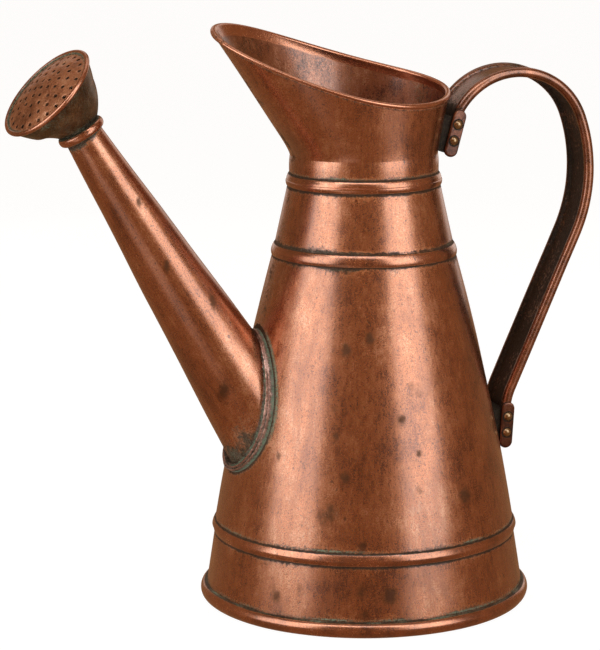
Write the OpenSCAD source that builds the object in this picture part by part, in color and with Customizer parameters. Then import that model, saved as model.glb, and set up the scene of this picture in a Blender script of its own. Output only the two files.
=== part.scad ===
// Hooded watering can in sheet copper, with a tapered side spout, an angled
// rose and a riveted strap handle. Every piece is a node of its own.
// Frame: millimetres, +Z up, origin at the centre of the foot on the ground.
// The spout leaves towards -X, the handle stands on the +X side.

/* [Can body] */
// Diameter over the foot ring
base_d = 180; // [174:1:186]
// Height of the foot ring
foot_ring_h = 8.6; // [7.6:0.2:10]
// Height of the lower bead, where the foot band meets the cone
foot_z = 40; // [37:1:44]
// Diameter of the cone at the lower bead
waist_d = 164.2; // [160:0.2:168]
// Height of the middle bead, where the cone meets the shoulder
shoulder_z = 192; // [188:1:196]
// Diameter of the cone at the middle bead
shoulder_d = 97.6; // [94:0.2:101]
// Height of the upper bead, where the shoulder meets the neck
neck_z = 230; // [227:1:233]
// Outer diameter of the short neck band
neck_d = 80.4; // [78:0.2:83]
// Height of the top edge of the neck band
neck_top_z = 242; // [240:0.5:244]
// How far the cone swells past a straight line
body_bulge = 2; // [0:0.2:3]
// Thickness of the copper sheet
sheet_t = 1.2; // [1:0.1:1.4]
// Length that one sheet laps inside the next
lap = 5; // [4:0.5:7]
// Height of the base disc above the ground
disc_z = 10; // [9.6:0.2:14]

/* [Beads] */
// Visible height of a bead
bead_h = 6.8; // [6:0.2:8]
// How far a bead stands out from the sheet
bead_proud = 1.2; // [1:0.1:1.6]

/* [Hood] */
// Reach of the lip in front of the can's axis
lip_reach = 82; // [76:0.5:88]
// Distance of the rear edge of the mouth behind the axis
mouth_back = 45.3; // [44:0.1:47]
// Half the width of the mouth
mouth_half_w = 43; // [41.5:0.5:46]
// Height of the lip
lip_z = 309.7; // [300:0.1:320]
// Height of the mouth at its rear edge
mouth_back_z = 277.8; // [274:0.1:284]
// How far the near side of the mouth hangs lower and the far side higher
mouth_lean = 10; // [0:0.5:11]
// Radius of the rolled edge of the mouth
mouth_roll_r = 1.6; // [1.4:0.1:2]

/* [Spout] */
// Height at which the spout's axis enters the cone
spout_z = 117; // [113:1:121]
// Angle of the spout from upright
spout_tilt = 31; // [29:0.5:33]
// Length of the spout along its axis
spout_len = 176; // [166:1:186]
// Diameter of the spout where it enters the cone
spout_root_d = 48; // [45:0.5:50]
// Diameter of the spout at its tip
spout_tip_d = 18.8; // [17.6:0.2:20]
// Width of the saddle flange around the spout's root
saddle_w = 8; // [7:0.5:9.5]
// Thickness of the saddle flange
saddle_t = 1.6; // [1.2:0.1:2.2]

/* [Rose] */
// Radius of the rose to the middle of its rolled rim
rose_r = 27.6; // [25.4:0.2:29]
// Distance from the elbow of the rose to the plane of its rim
rose_h = 19; // [18:0.5:21]
// Angle between the rose and the spout
rose_bend = 17; // [12:1:19]
// Turn of the bent rose about the spout
rose_turn = 33; // [0:1:40]
// Height of the domed face
rose_dome = 4.6; // [3.5:0.1:5.5]
// Diameter of the sprinkling holes
rose_hole_d = 2; // [1.6:0.1:2.2]
// Holes on the outermost circle
rose_holes = 24; // [18:1:26]
// Radius of the rolled rim of the rose
rose_roll_r = 1.3; // [1.2:0.1:1.8]
// Outward swell of the rose's bell half way up
bell_bulge = 1.6; // [0.6:0.1:2.4]

/* [Handle] */
// Width of the strap over both rolled edges
strap_w = 30; // [28:0.5:32]
// Radius of the rolled edges of the strap
strap_roll_r = 2.75; // [2.4:0.05:3]
// Thickness of the web between the rolled edges
strap_t = 1.8; // [1.4:0.1:2.4]
// Height at which the strap leaves the upper lug
strap_top_z = 262.5; // [261:0.5:264]
// Distance of that point from the can's axis
strap_top_x = 48.3; // [47.8:0.1:49.5]
// Radius of the strap over the hand
grip_r = 39; // [37.5:0.5:40.5]
// Radius of the strap behind the hand
back_r = 88; // [86:1:90]
// Length of the straight run down to the cone
strap_run = 90; // [88:1:92]

/* [Riveted ends] */
// Width of a cheek plate
cheek_w = 7.4; // [7:0.1:8]
// Length of a cheek plate
cheek_l = 26; // [25:0.5:27]
// Thickness of a cheek plate
cheek_t = 2; // [1.6:0.1:2.4]
// Distance between the two rivets of an end
rivet_pitch = 9; // [8.4:0.1:9.6]
// Diameter of a rivet's shank
rivet_d = 3.2; // [2.8:0.1:3.6]
// Diameter of a rivet's head
rivet_head_d = 5; // [4.6:0.1:5.6]
// Height of a rivet's head
rivet_head_h = 1.5; // [1.2:0.1:1.8]
// Clearance all round a rivet's shank
rivet_fit = 0.05; // [0.02:0.01:0.1]

/* [Hidden] */
$fn = 96;

copper = [0.60, 0.34, 0.22];
worn_copper = [0.74, 0.44, 0.28];
dark_copper = [0.36, 0.22, 0.15];
crusted = [0.30, 0.32, 0.26];
dull_brass = [0.55, 0.44, 0.22];

base_r = base_d / 2;
waist_r = waist_d / 2;
shoulder_r = shoulder_d / 2;
neck_r = neck_d / 2;
edge_rise = 1;          // a lapped edge ends this far past the bead's middle
joggle_h = 1.4;         // height over which a sheet steps in or out
far_r = 200;            // larger than any radius of the can
cut = 1;                // a cutting solid runs this far past what it cuts

// The foot ring is a round roll with a narrow worn flat on its underside.
ring_flat = 1;
ring_sect_r = sqrt(pow(foot_ring_h / 2, 2) + ring_flat * ring_flat);
ring_mid_r = base_r - ring_sect_r;
foot_seat = 2.2;        // depth of the groove that holds the foot band
foot_seat_out = 1.1;    // the band's edge lies this far outside the roll's middle
foot_joggle_h = 2.4;
foot_shy = 0.1;         // the foot band's top is this much smaller than the cone
band_low_z = foot_ring_h - foot_seat;
band_low_r = ring_mid_r + foot_seat_out;
band_top_z = foot_z - edge_rise - foot_joggle_h;
band_top_r = waist_r - foot_shy;

// Outer surface of the cone, as [height, radius] from its lower to its
// upper edge. It swells by body_bulge half way up.
body_n = 8;
body_low_z = foot_z - edge_rise;
body_top_z = shoulder_z + edge_rise;
function cone_share(z) = (z - foot_z) / (shoulder_z - foot_z);
function cone_r(z) = waist_r + (shoulder_r - waist_r) * cone_share(z)
    + 4 * body_bulge * cone_share(z) * (1 - cone_share(z));
body_curve = [for (i = [0 : body_n])
    let (z = body_low_z + (body_top_z - body_low_z) * i / body_n)
    [z, cone_r(z)]];
function body_r(z) = lookup(z, body_curve);

// Outer surfaces of the foot band and of the shoulder are straight lines.
neck_shy = 0.3;         // the neck band is this much smaller than the shoulder
band_top_line_r = neck_r + neck_shy;
function foot_r(z) = band_low_r + (band_top_r - band_low_r)
    * (z - band_low_z) / (band_top_z - band_low_z);
function band_r(z) = shoulder_r + (band_top_line_r - shoulder_r)
    * (z - shoulder_z) / (neck_z - shoulder_z);

// Outer points of each sheet, each [radius, height], from the bottom up.
// Each lapped end sits inside its neighbour and steps out beside its edge.
foot_pts = [[band_low_r, band_low_z], [band_top_r, band_top_z],
    [body_r(body_low_z) - sheet_t, body_low_z],
    [body_r(foot_z + lap) - sheet_t, foot_z + lap]];
cone_pts = [for (p = body_curve) [p[1], p[0]]];
band_low_edge = body_top_z + joggle_h;
band_edge_z = neck_z + edge_rise;
neck_low_edge = band_edge_z + joggle_h;
shoulder_pts = [[body_r(shoulder_z - lap) - sheet_t, shoulder_z - lap],
    [body_r(body_top_z) - sheet_t, body_top_z],
    [band_r(band_low_edge), band_low_edge],
    [band_r(band_edge_z), band_edge_z]];
neck_pts = [[band_r(neck_z - lap) - sheet_t, neck_z - lap],
    [band_r(band_edge_z) - sheet_t, band_edge_z],
    [neck_r, neck_low_edge], [neck_r, neck_top_z]];

// Section of a bead: a circle that crosses the sheet at bead_h apart.
bead_sect_r = (pow(bead_h / 2, 2) + pow(bead_proud, 2)) / (2 * bead_proud);
bead_over = 0.8;        // the outline behind a bead reaches this far past it
bead_zone = bead_h / 2 + bead_over;

// Spout: a frame at its entry point, with local +Z along the spout.
spout_x = -body_r(spout_z);
spout_root_r = spout_root_d / 2;
spout_tip_r = spout_tip_d / 2;
spout_taper = (spout_root_r - spout_tip_r) / spout_len;
spout_in = 45;          // the cones start this far inside the can
function spout_r(s) = spout_root_r - spout_taper * s;
ridge_share = 0.42;     // share of the flange's width that each ridge takes
ridge_w = saddle_w * ridge_share;
ridge_rise = 1;
ridge_t = saddle_t + ridge_rise;
saddle_turn = 11;       // the flange faces the wall more squarely than the spout
saddle_tilt = spout_tilt + saddle_turn;
saddle_drop = 3.5;      // the flange's middle lies below the spout's entry point
saddle_z = spout_z - saddle_drop;
saddle_r = spout_r(0) + saddle_w;

// Rose: its neck slides over the spout's tip up to the bell's base, just
// past the ring. The bell leans over by rose_bend about the elbow.
elbow_gap = 2.2;        // elbow beyond the tip of the spout
elbow_s = spout_len + elbow_gap;
neck_lap = 9.6;         // length of spout inside the rose's neck
rose_neck_s = spout_len - neck_lap;
rose_neck_t = sheet_t;
ring_back = 7;
rose_ring_s = spout_len - ring_back;
rose_ring_h = 5;
rose_ring_proud = 1.9;
function neck_sleeve_r(s) = spout_r(s) + rose_neck_t;
bell_t = 1.1;
bell_gap = 0.3;         // free length of neck between the ring and the bell
bell_step = 0.5;        // the bell's base is this much larger than the neck
bell_base_s = rose_ring_s + rose_ring_h / 2 + bell_gap;
bell_base_r = neck_sleeve_r(bell_base_s) + bell_step;
bell_short = 0.6;       // the bell's edge stops short of the rim's middle
bell_low = bell_base_s - elbow_s;
bell_top = rose_h - bell_short;
bell_bent = 8;          // height over the elbow where the bend is complete
bell_rows = 7;
bell_sides = 72;
function bell_share(z) = (z - bell_low) / (bell_top - bell_low);
function bell_r(z) = bell_base_r + (rose_r - bell_base_r) * bell_share(z)
    + 4 * bell_bulge * bell_share(z) * (1 - bell_share(z));
function bell_lean(z) = rose_bend
    * min(1, (z - bell_low) / (bell_bent - bell_low));
function bell_pt(r, z, a) = let (b = bell_lean(z))
    [r * cos(a) * cos(b) - z * sin(b), r * sin(a),
     r * cos(a) * sin(b) + z * cos(b)];
face_share = 0.55;      // depth of the face's edge inside the rolled rim
face_r = rose_r - rose_roll_r * face_share;
face_t = 1;
dome_r = (face_r * face_r + rose_dome * rose_dome) / (2 * rose_dome);
hole_rings = 4;
hole_edge = 4.2;        // outermost holes lie this far inside the rim line
hole_step = (rose_r - hole_edge) / hole_rings;

// Strap: arcs and one straight run in the XZ plane. A heading is the angle
// of travel from +X towards +Z. The strap starts at the upper lug.
head_start = 75;
head_grip = 56;
head_back = -71;
head_run = -114;
head_end = -94;
start_r = 20;
foot_bend_r = 36;
strap_band_l = 1;
strap_band_grow = 0.05;
function dir(h) = [cos(h), 0, sin(h)];
function clock_mid(p, r, h) = p - r * dir(h + 90);
function clock_end(p, r, h0, h1) = clock_mid(p, r, h0) + r * dir(h1 + 90);
function counter_mid(p, r, h) = p + r * dir(h + 90);
function counter_end(p, r, h0, h1) = counter_mid(p, r, h0)
    - r * dir(h1 + 90);
strap_0 = [strap_top_x, 0, strap_top_z];
strap_1 = clock_end(strap_0, start_r, head_start, head_grip);
strap_2 = clock_end(strap_1, grip_r, head_grip, head_back);
strap_3 = clock_end(strap_2, back_r, head_back, head_run);
strap_4 = strap_3 + strap_run * dir(head_run);
strap_5 = counter_end(strap_4, foot_bend_r, head_run, head_end);

// Riveted ends: the cheeks lap the strap's end by cheek_lap.
cheek_lap = 4.6;
rivet_first = 3.4;      // first rivet below the strap's end
lug_shy = 0.4;          // the lug lies this far inside the cheeks' outline
lug_half = cheek_w / 2 - lug_shy;
lug_short = 1.6;        // the cheeks reach this far below the lug
lug_l = cheek_l - cheek_lap - lug_short;
cheek_y = strap_w / 2;
lug_in = 12;            // the lug reaches this far in from the strap's middle
lug_stations = 6;       // steps of the hood on either side that meet the lug

// Hood: one sheet from the neck band to the mouth, its edge rolled.
hood_n = 80;
hood_sink = 4.5;        // depth of the hood's skirt inside the neck band
hood_low_r = neck_r - sheet_t;
hood_shy = 0.5;         // the hood's wall is this much smaller than the neck band
hood_r = neck_r - hood_shy;
hood_step_h = 1.2;
hood_kink_h = 3.4;
hood_step_z = neck_top_z + hood_step_h;
hood_kink_z = neck_top_z + hood_kink_h;
hood_soft = 0.13;       // share of the slope taken up by the soft bend
soft_n = 4;
slope_n = 5;
roll_n = 10;
mouth_mid = (mouth_back - lip_reach) / 2;
mouth_half_l = (mouth_back + lip_reach) / 2;
rim_taper = 0.15;       // narrowing of the mouth towards its lip
rim_power = 1.1;        // above 1 the lip stays high for longer
lean_shift = 0.13;      // the lean is strongest behind the mouth's middle
function out_dir(u) = [-cos(u), sin(u), 0];
function rim_x(u) = mouth_mid - mouth_half_l * cos(u);
function rim_y(u) = mouth_half_w * sin(u) * (1 - rim_taper * cos(u));
function rim_share(u) = (1 - cos(u)) / 2;
function rim_z(u) = lip_z - (lip_z - mouth_back_z)
    * sin(90 * pow(rim_share(u), rim_power))
    + mouth_lean * sin(u) * (1 + lean_shift * cos(u));
function rim_pt(u) = [rim_x(u), rim_y(u), rim_z(u)];
function kink_pt(u) = hood_r * out_dir(u) + [0, 0, hood_kink_z];
function unit(v) = v / norm(v);
function wall_dir(u) = unit(rim_pt(u) - kink_pt(u));
function edge_flat(u) = let (v = rim_pt(u + 1) - rim_pt(u - 1))
    unit([-v[1], v[0], 0]);
function edge_dir(u) = let (w = wall_dir(u), n = edge_flat(u))
    unit(n - (n * w) * w);
function roll_pt(u, a) = rim_pt(u)
    + mouth_roll_r * (cos(a) * edge_dir(u) + sin(a) * wall_dir(u));
roll_gap = asin(sheet_t / 2 / mouth_roll_r);
function slope_pt(u, s) = kink_pt(u) * (1 - s)
    + roll_pt(u, roll_gap - 90) * s;
function soft_pt(u, q) =
    let (a = hood_r * out_dir(u) + [0, 0, hood_step_z],
         b = kink_pt(u), c = slope_pt(u, hood_soft))
    (1 - q) * (1 - q) * a + 2 * q * (1 - q) * b + q * q * c;
function sheet_dir(u, s) = unit((1 - s) * out_dir(u) + s * edge_dir(u));
function hood_outer(u) = concat(
    [hood_low_r * out_dir(u) + [0, 0, neck_top_z - hood_sink],
     hood_low_r * out_dir(u) + [0, 0, neck_top_z]],
    [for (i = [0 : soft_n]) soft_pt(u, i / soft_n)],
    [for (i = [1 : slope_n - 1])
        slope_pt(u, hood_soft + (1 - hood_soft) * i / slope_n)]);
function hood_share(i) = i < 2 + soft_n ? 0
    : hood_soft + (1 - hood_soft) * (i - 1 - soft_n) / slope_n;
function hood_station(u) = let (o = hood_outer(u), n = len(o)) concat(o,
    [for (i = [0 : roll_n]) roll_pt(u, roll_gap - 90
        + (360 - 2 * roll_gap) * i / roll_n)],
    [for (i = [n - 1 : -1 : 0]) o[i] - sheet_t * sheet_dir(u, hood_share(i))]);

// Faces over steps that join successive loops, out of count loops of m points.
function loft_faces(steps, count, m) =
    [for (k = [0 : steps - 1]) for (i = [0 : m - 1])
        let (a = k * m + i, b = k * m + (i + 1) % m,
             c = ((k + 1) % count) * m + (i + 1) % m,
             d = ((k + 1) % count) * m + i)
        each [[a, c, b], [a, d, c]]];

module sheet_ring(pts) {
    rotate_extrude()
        polygon(concat(pts, [for (i = [len(pts) - 1 : -1 : 0])
            pts[i] - [sheet_t, 0]]));
}

// A bead: pts are the outer points of the sheets behind it, bottom up.
module bead_ring(z, peak, pts) {
    rotate_extrude()
        intersection() {
            translate([peak - bead_sect_r, z]) circle(bead_sect_r);
            polygon(concat(pts, [[far_r, z + bead_zone],
                [far_r, z - bead_zone]]));
        }
}

module can_solid(grow) {
    rotate_extrude()
        polygon(concat([[0, body_low_z]],
            [for (p = cone_pts) p + [grow, 0]], [[0, body_top_z]]));
}

module at_spout() {
    translate([spout_x, 0, spout_z]) rotate([0, -spout_tilt, 0]) children();
}

module spout_cone(grow, s0, s1) {
    at_spout()
        translate([0, 0, s0])
            cylinder(h = s1 - s0, r1 = spout_r(s0) + grow,
                r2 = spout_r(s1) + grow);
}

module at_rose() {
    at_spout() translate([0, 0, elbow_s]) rotate([0, 0, rose_turn])
        rotate([0, -rose_bend, 0]) children();
}

module foot_ring() {
    color(worn_copper)
    difference() {
        rotate_extrude()
            intersection() {
                translate([ring_mid_r, foot_ring_h / 2]) circle(ring_sect_r);
                square([base_r + cut, foot_ring_h]);
            }
        rotate_extrude()
            polygon([[foot_r(band_low_z), band_low_z],
                [foot_r(foot_ring_h + cut), foot_ring_h + cut],
                [foot_r(foot_ring_h + cut) - sheet_t, foot_ring_h + cut],
                [foot_r(band_low_z) - sheet_t, band_low_z]]);
    }
}

// Flat disc with an upturned flange soldered to the foot band.
module base_disc() {
    flange_h = 7;
    in_low = foot_r(disc_z) - sheet_t;
    in_high = foot_r(disc_z + flange_h) - sheet_t;
    color(dark_copper)
    rotate_extrude()
        polygon([[0, disc_z], [in_low, disc_z],
            [in_high, disc_z + flange_h],
            [in_high - sheet_t, disc_z + flange_h],
            [in_low - sheet_t, disc_z + sheet_t], [0, disc_z + sheet_t]]);
}

module foot_band() {
    color(copper) sheet_ring(foot_pts);
}

module lower_bead() {
    color(worn_copper)
    bead_ring(foot_z, waist_r + bead_proud,
        [[foot_r(foot_z - bead_zone), foot_z - bead_zone],
         [band_top_r, band_top_z], [body_r(body_low_z), body_low_z],
         [body_r(foot_z + bead_zone), foot_z + bead_zone]]);
}

module body_cone() {
    color(copper)
    difference() {
        sheet_ring(cone_pts);
        spout_cone(-sheet_t, -spout_in, spout_len / 2);
    }
}

module shoulder_bead() {
    color(worn_copper)
    bead_ring(shoulder_z, shoulder_r + bead_proud,
        [[body_r(shoulder_z - bead_zone), shoulder_z - bead_zone],
         [body_r(body_top_z), body_top_z],
         [band_r(band_low_edge), band_low_edge],
         [band_r(shoulder_z + bead_zone), shoulder_z + bead_zone]]);
}

module shoulder_band() {
    color(copper) sheet_ring(shoulder_pts);
}

module neck_bead() {
    color(worn_copper)
    bead_ring(neck_z, band_top_line_r + bead_proud,
        [[band_r(neck_z - bead_zone), neck_z - bead_zone],
         [band_r(band_edge_z), band_edge_z],
         [neck_r, neck_low_edge], [neck_r, neck_z + bead_zone]]);
}

module neck_band() {
    color(copper) sheet_ring(neck_pts);
}

module hood() {
    m = len(hood_station(0));
    pts = [for (k = [0 : hood_n - 1]) each hood_station(360 * k / hood_n)];
    color(copper)
    polyhedron(points = pts, faces = loft_faces(hood_n, hood_n, m));
}

// Block that fills the rear of the hood out to its outer face.
module hood_back() {
    from = hood_n / 2 - lug_stations;
    rows = [for (k = [0 : 2 * lug_stations])
        let (o = hood_outer(360 * (from + k) / hood_n))
        [for (i = [1 : len(o) - 1]) o[i]]];
    n = len(rows[0]);
    pts = [for (r = rows) each concat(r,
        [for (i = [n - 1 : -1 : 0]) [r[i][0] / 2, r[i][1] / 2, r[i][2]]])];
    m = 2 * n;
    last = 2 * lug_stations * m;
    sides = loft_faces(2 * lug_stations, 2 * lug_stations + 1, m);
    caps = [for (i = [0 : n - 2])
        let (j = m - 1 - i)
        each [[i, i + 1, j], [i + 1, j - 1, j],
            [last + i + 1, last + i, last + j],
            [last + i + 1, last + j, last + j - 1]]];
    polyhedron(points = pts, faces = concat(sides, caps));
}

module spout_tube() {
    color(copper)
    difference() {
        spout_cone(0, -spout_in, spout_len);
        spout_cone(-sheet_t, -spout_in - cut, spout_len + cut);
        can_solid(0);
    }
}

// Round prism that bounds the flange around the spout's root.
module saddle_bound(r) {
    translate([-body_r(saddle_z), 0, saddle_z]) rotate([0, -saddle_tilt, 0])
        translate([0, 0, -spout_in]) cylinder(h = 3 * spout_in, r = r);
}

// Flange round the spout's root, with two raised ridges.
module spout_saddle() {
    color(crusted)
    difference() {
        union() {
            intersection() {
                can_solid(saddle_t);
                saddle_bound(saddle_r);
            }
            intersection() {
                can_solid(ridge_t);
                spout_cone(ridge_w, -spout_in, spout_len / 2);
            }
            difference() {
                intersection() {
                    can_solid(ridge_t);
                    saddle_bound(saddle_r);
                }
                saddle_bound(saddle_r - ridge_w);
            }
        }
        can_solid(0);
        spout_cone(0, -spout_in - cut, spout_len / 2 + cut);
    }
}

module rose_ring() {
    ring_peak = neck_sleeve_r(rose_ring_s) + rose_ring_proud;
    half = rose_ring_h / 2;
    sect_r = (half * half + rose_ring_proud * rose_ring_proud)
        / (2 * rose_ring_proud);
    color(worn_copper)
    at_spout()
        rotate_extrude()
            intersection() {
                translate([ring_peak - sect_r, rose_ring_s]) circle(sect_r);
                polygon([[neck_sleeve_r(rose_ring_s - half),
                        rose_ring_s - half],
                    [far_r, rose_ring_s - half],
                    [far_r, rose_ring_s + half],
                    [neck_sleeve_r(rose_ring_s + half),
                        rose_ring_s + half]]);
            }
}

// Solid bounded by the bell's circles, made smaller by inset.
module bell_solid(inset, z0, z1) {
    m = bell_sides;
    last = (bell_rows - 1) * m;
    rows = [for (k = [0 : bell_rows - 1]) z0 + (z1 - z0) * k / (bell_rows - 1)];
    pts = [for (z = rows) for (i = [0 : m - 1])
        bell_pt(bell_r(z) - inset, z, 360 * i / m)];
    sides = loft_faces(bell_rows - 1, bell_rows, m);
    caps = [for (i = [1 : m - 2])
        each [[0, i, i + 1], [last, last + i + 1, last + i]]];
    at_spout() translate([0, 0, elbow_s]) rotate([0, 0, rose_turn])
        polyhedron(points = pts, faces = concat(sides, caps));
}

module rose_bell() {
    color(dark_copper)
    difference() {
        union() {
            spout_cone(rose_neck_t, rose_neck_s, bell_base_s + bell_t / 2);
            bell_solid(0, bell_low, bell_top);
        }
        spout_cone(0, rose_neck_s - cut, elbow_s);
        bell_solid(bell_t, bell_low + bell_t, bell_top + cut);
        at_rose() rose_roll();
    }
}

module rose_roll() {
    rotate_extrude() translate([rose_r, rose_h]) circle(rose_roll_r);
}

module rose_rim() {
    color(worn_copper) at_rose() rose_roll();
}

// Domed face with rings of holes square to the rose's axis.
module rose_face() {
    color(copper)
    at_rose()
        difference() {
            intersection() {
                translate([0, 0, rose_h + rose_dome - dome_r])
                    rotate([90, 0, 0])
                        difference() {
                            sphere(dome_r, $fn = 360);
                            sphere(dome_r - face_t, $fn = 360);
                        }
                translate([0, 0, rose_h])
                    cylinder(h = rose_dome + cut, r = face_r);
            }
            for (k = [0 : hole_rings])
                let (n = k == 0 ? 1 : round(rose_holes * k / hole_rings))
                for (i = [0 : n - 1])
                    rotate([0, 0, 360 * (i + k / 3) / n])
                        translate([k * hole_step, 0, 0])
                            cylinder(h = rose_h + rose_dome + cut,
                                d = rose_hole_d, $fn = 24);
            rose_roll();
        }
}

// Section of the strap: a web between two round rolled edges.
module strap_section(grow) {
    edge_y = strap_w / 2 - strap_roll_r;
    square([strap_t + 2 * grow, 2 * edge_y], center = true);
    for (side = [-1, 1])
        translate([0, side * edge_y]) circle(strap_roll_r + grow);
}

// Thin planished band that joins two runs of the strap at p.
module strap_band(p, h) {
    translate(p) rotate([0, 90 - h, 0])
        linear_extrude(strap_band_l, center = true)
            strap_section(strap_band_grow);
}

module strap_arc(mid, r, a0, a1) {
    translate(mid) rotate([90, 0, 0]) rotate([0, 0, a0])
        rotate_extrude(angle = a1 - a0) translate([r, 0]) strap_section(0);
}

module handle_strap() {
    color(dark_copper)
    union() {
        strap_arc(clock_mid(strap_0, start_r, head_start), start_r,
            head_grip + 90, head_start + 90);
        strap_arc(clock_mid(strap_1, grip_r, head_grip), grip_r,
            head_back + 90, head_grip + 90);
        strap_arc(clock_mid(strap_2, back_r, head_back), back_r,
            head_run + 90, head_back + 90);
        translate(strap_3) rotate([0, 90 - head_run, 0])
            linear_extrude(strap_run) strap_section(0);
        strap_arc(counter_mid(strap_4, foot_bend_r, head_run), foot_bend_r,
            head_run - 90, head_end - 90);
        strap_band(strap_1, head_grip);
        strap_band(strap_2, head_back);
        strap_band(strap_3, head_run);
        strap_band(strap_4, head_run);
    }
}

// Frame at an end of the strap: local +Z runs back along the strap.
module at_upper() {
    translate(strap_0) rotate([0, 90 - head_start, 0]) children();
}

module at_lower() {
    translate(strap_5) rotate([0, -90 - head_end, 0]) children();
}

// Lug block between the cheeks, from the can out to the strap's back.
module lug_block() {
    difference() {
        translate([-lug_in, -cheek_y, -lug_l])
            cube([lug_in + lug_half, 2 * cheek_y, lug_l]);
        rivet_bores();
    }
}

module rivet_bores() {
    for (i = [0, 1])
        translate([0, 0, -rivet_first - i * rivet_pitch])
            rotate([90, 0, 0])
                cylinder(h = strap_w + 2 * cheek_t + 2 * cut,
                    d = rivet_d + 2 * rivet_fit, center = true, $fn = 32);
}

module cheek(side) {
    difference() {
        translate([0, side * (cheek_y + cheek_t / 2), 0])
            rotate([90, 0, 0])
                linear_extrude(cheek_t, center = true)
                    cheek_outline();
        rivet_bores();
    }
}

module cheek_outline() {
    r = cheek_w / 2;
    translate([-r, cheek_lap - cheek_l + r]) square([cheek_w, cheek_l - 2 * r]);
    translate([0, cheek_lap - r]) circle(r);
    translate([0, cheek_lap - cheek_l + r]) circle(r);
}

module rivet(i) {
    head_y = cheek_y + cheek_t;
    cap_r = (pow(rivet_head_d / 2, 2) + pow(rivet_head_h, 2))
        / (2 * rivet_head_h);
    translate([0, 0, -rivet_first - i * rivet_pitch])
        rotate([90, 0, 0])
            union() {
                cylinder(h = 2 * head_y, d = rivet_d, center = true, $fn = 32);
                for (turn = [0, 180])
                    rotate([turn, 0, 0])
                        intersection() {
                            translate([0, 0, head_y + rivet_head_h - cap_r])
                                sphere(cap_r, $fn = 48);
                            translate([0, 0, head_y])
                                cylinder(h = rivet_head_h + cut,
                                    d = rivet_head_d + cut, $fn = 48);
                        }
            }
}

module upper_lug() {
    color(dark_copper)
    difference() {
        at_upper() lug_block();
        hood_back();
    }
}

module lower_lug() {
    color(dark_copper)
    difference() {
        at_lower() lug_block();
        can_solid(0);
    }
}

module upper_cheek_near() {
    color(copper) at_upper() cheek(-1);
}

module upper_cheek_far() {
    color(copper) at_upper() cheek(1);
}

module lower_cheek_near() {
    color(copper)
    difference() {
        at_lower() cheek(-1);
        can_solid(0);
    }
}

module lower_cheek_far() {
    color(copper)
    difference() {
        at_lower() cheek(1);
        can_solid(0);
    }
}

module upper_rivet_top() {
    color(dull_brass) at_upper() rivet(0);
}

module upper_rivet_bottom() {
    color(dull_brass) at_upper() rivet(1);
}

module lower_rivet_top() {
    color(dull_brass) at_lower() rivet(0);
}

module lower_rivet_bottom() {
    color(dull_brass) at_lower() rivet(1);
}

foot_ring();
base_disc();
foot_band();
lower_bead();
body_cone();
shoulder_bead();
shoulder_band();
neck_bead();
neck_band();
hood();
spout_tube();
spout_saddle();
rose_ring();
rose_bell();
rose_rim();
rose_face();
handle_strap();
upper_lug();
lower_lug();
upper_cheek_near();
upper_cheek_far();
lower_cheek_near();
lower_cheek_far();
upper_rivet_top();
upper_rivet_bottom();
lower_rivet_top();
lower_rivet_bottom();
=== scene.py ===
"""Aged copper watering can: detailed meshes, finish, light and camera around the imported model.

Shapes are worked out in millimetres in the row frame: +Z up, spout towards -X, handle at +X.
"""
import math

import bpy
import numpy as np
from mathutils import Matrix, Vector, noise
from mathutils.bvhtree import BVHTree
from mathutils.geometry import delaunay_2d_cdt


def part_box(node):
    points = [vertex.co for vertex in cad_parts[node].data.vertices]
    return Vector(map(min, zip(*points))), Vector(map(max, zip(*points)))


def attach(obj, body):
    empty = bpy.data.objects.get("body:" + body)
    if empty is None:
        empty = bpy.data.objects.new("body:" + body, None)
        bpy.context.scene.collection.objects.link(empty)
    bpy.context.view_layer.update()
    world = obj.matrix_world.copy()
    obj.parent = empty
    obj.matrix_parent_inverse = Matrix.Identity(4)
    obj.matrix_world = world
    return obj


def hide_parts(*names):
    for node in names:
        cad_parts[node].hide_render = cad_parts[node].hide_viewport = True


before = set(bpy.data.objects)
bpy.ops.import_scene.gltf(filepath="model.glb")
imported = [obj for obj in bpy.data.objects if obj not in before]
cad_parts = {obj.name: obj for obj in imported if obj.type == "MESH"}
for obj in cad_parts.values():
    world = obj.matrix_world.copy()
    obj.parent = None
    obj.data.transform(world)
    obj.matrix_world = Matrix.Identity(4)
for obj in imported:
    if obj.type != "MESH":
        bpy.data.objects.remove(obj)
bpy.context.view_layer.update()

MM = 0.001
WARP_SEED = 7
noise.seed_set(WARP_SEED)       # without it noise_vector, in warp, differs from run to run


def span(node):
    """Lowest and highest corner of a CAD node, in millimetres."""
    lo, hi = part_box(node)
    return np.array(lo) / MM, np.array(hi) / MM


# ------------ driving sizes, mm
SHEET = 1.2             # copper sheet
LAP = 5.0               # lap of one sheet inside the next
EDGE = 1.0              # a lapped edge ends this far past the bead's middle
JOGGLE = 1.4            # height of a step in a sheet
BEAD_HALF = 3.4         # half the height of a bead
BEAD_PROUD = 1.2
BULGE = 2.0             # swell of the cone


def bead_at(node):
    """Height of a bead's middle, and radius of the sheets under it."""
    lo, hi = span(node)
    return (lo[2] + hi[2]) / 2, hi[0] - BEAD_PROUD


BASE_R = span("foot_ring")[1][0]
RING_H = span("foot_ring")[1][2]
DISC_Z = span("base_disc")[0][2]
FOOT_Z, WAIST_R = bead_at("lower_bead")
SHOULDER_Z, SHOULDER_R = bead_at("shoulder_bead")
NECK_Z, BAND_HIGH_R = bead_at("neck_bead")
NECK_R = BAND_HIGH_R - 0.3
NECK_TOP = span("neck_band")[1][2]

RING_SECT_R = math.hypot(RING_H / 2, 1.0)
RING_MID_R = BASE_R - RING_SECT_R
BAND_LOW_Z = RING_H - 2.2
BAND_LOW_R = RING_MID_R + 1.1
BAND_TOP_Z = FOOT_Z - EDGE - 2.4
BAND_TOP_R = WAIST_R - 0.1

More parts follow.
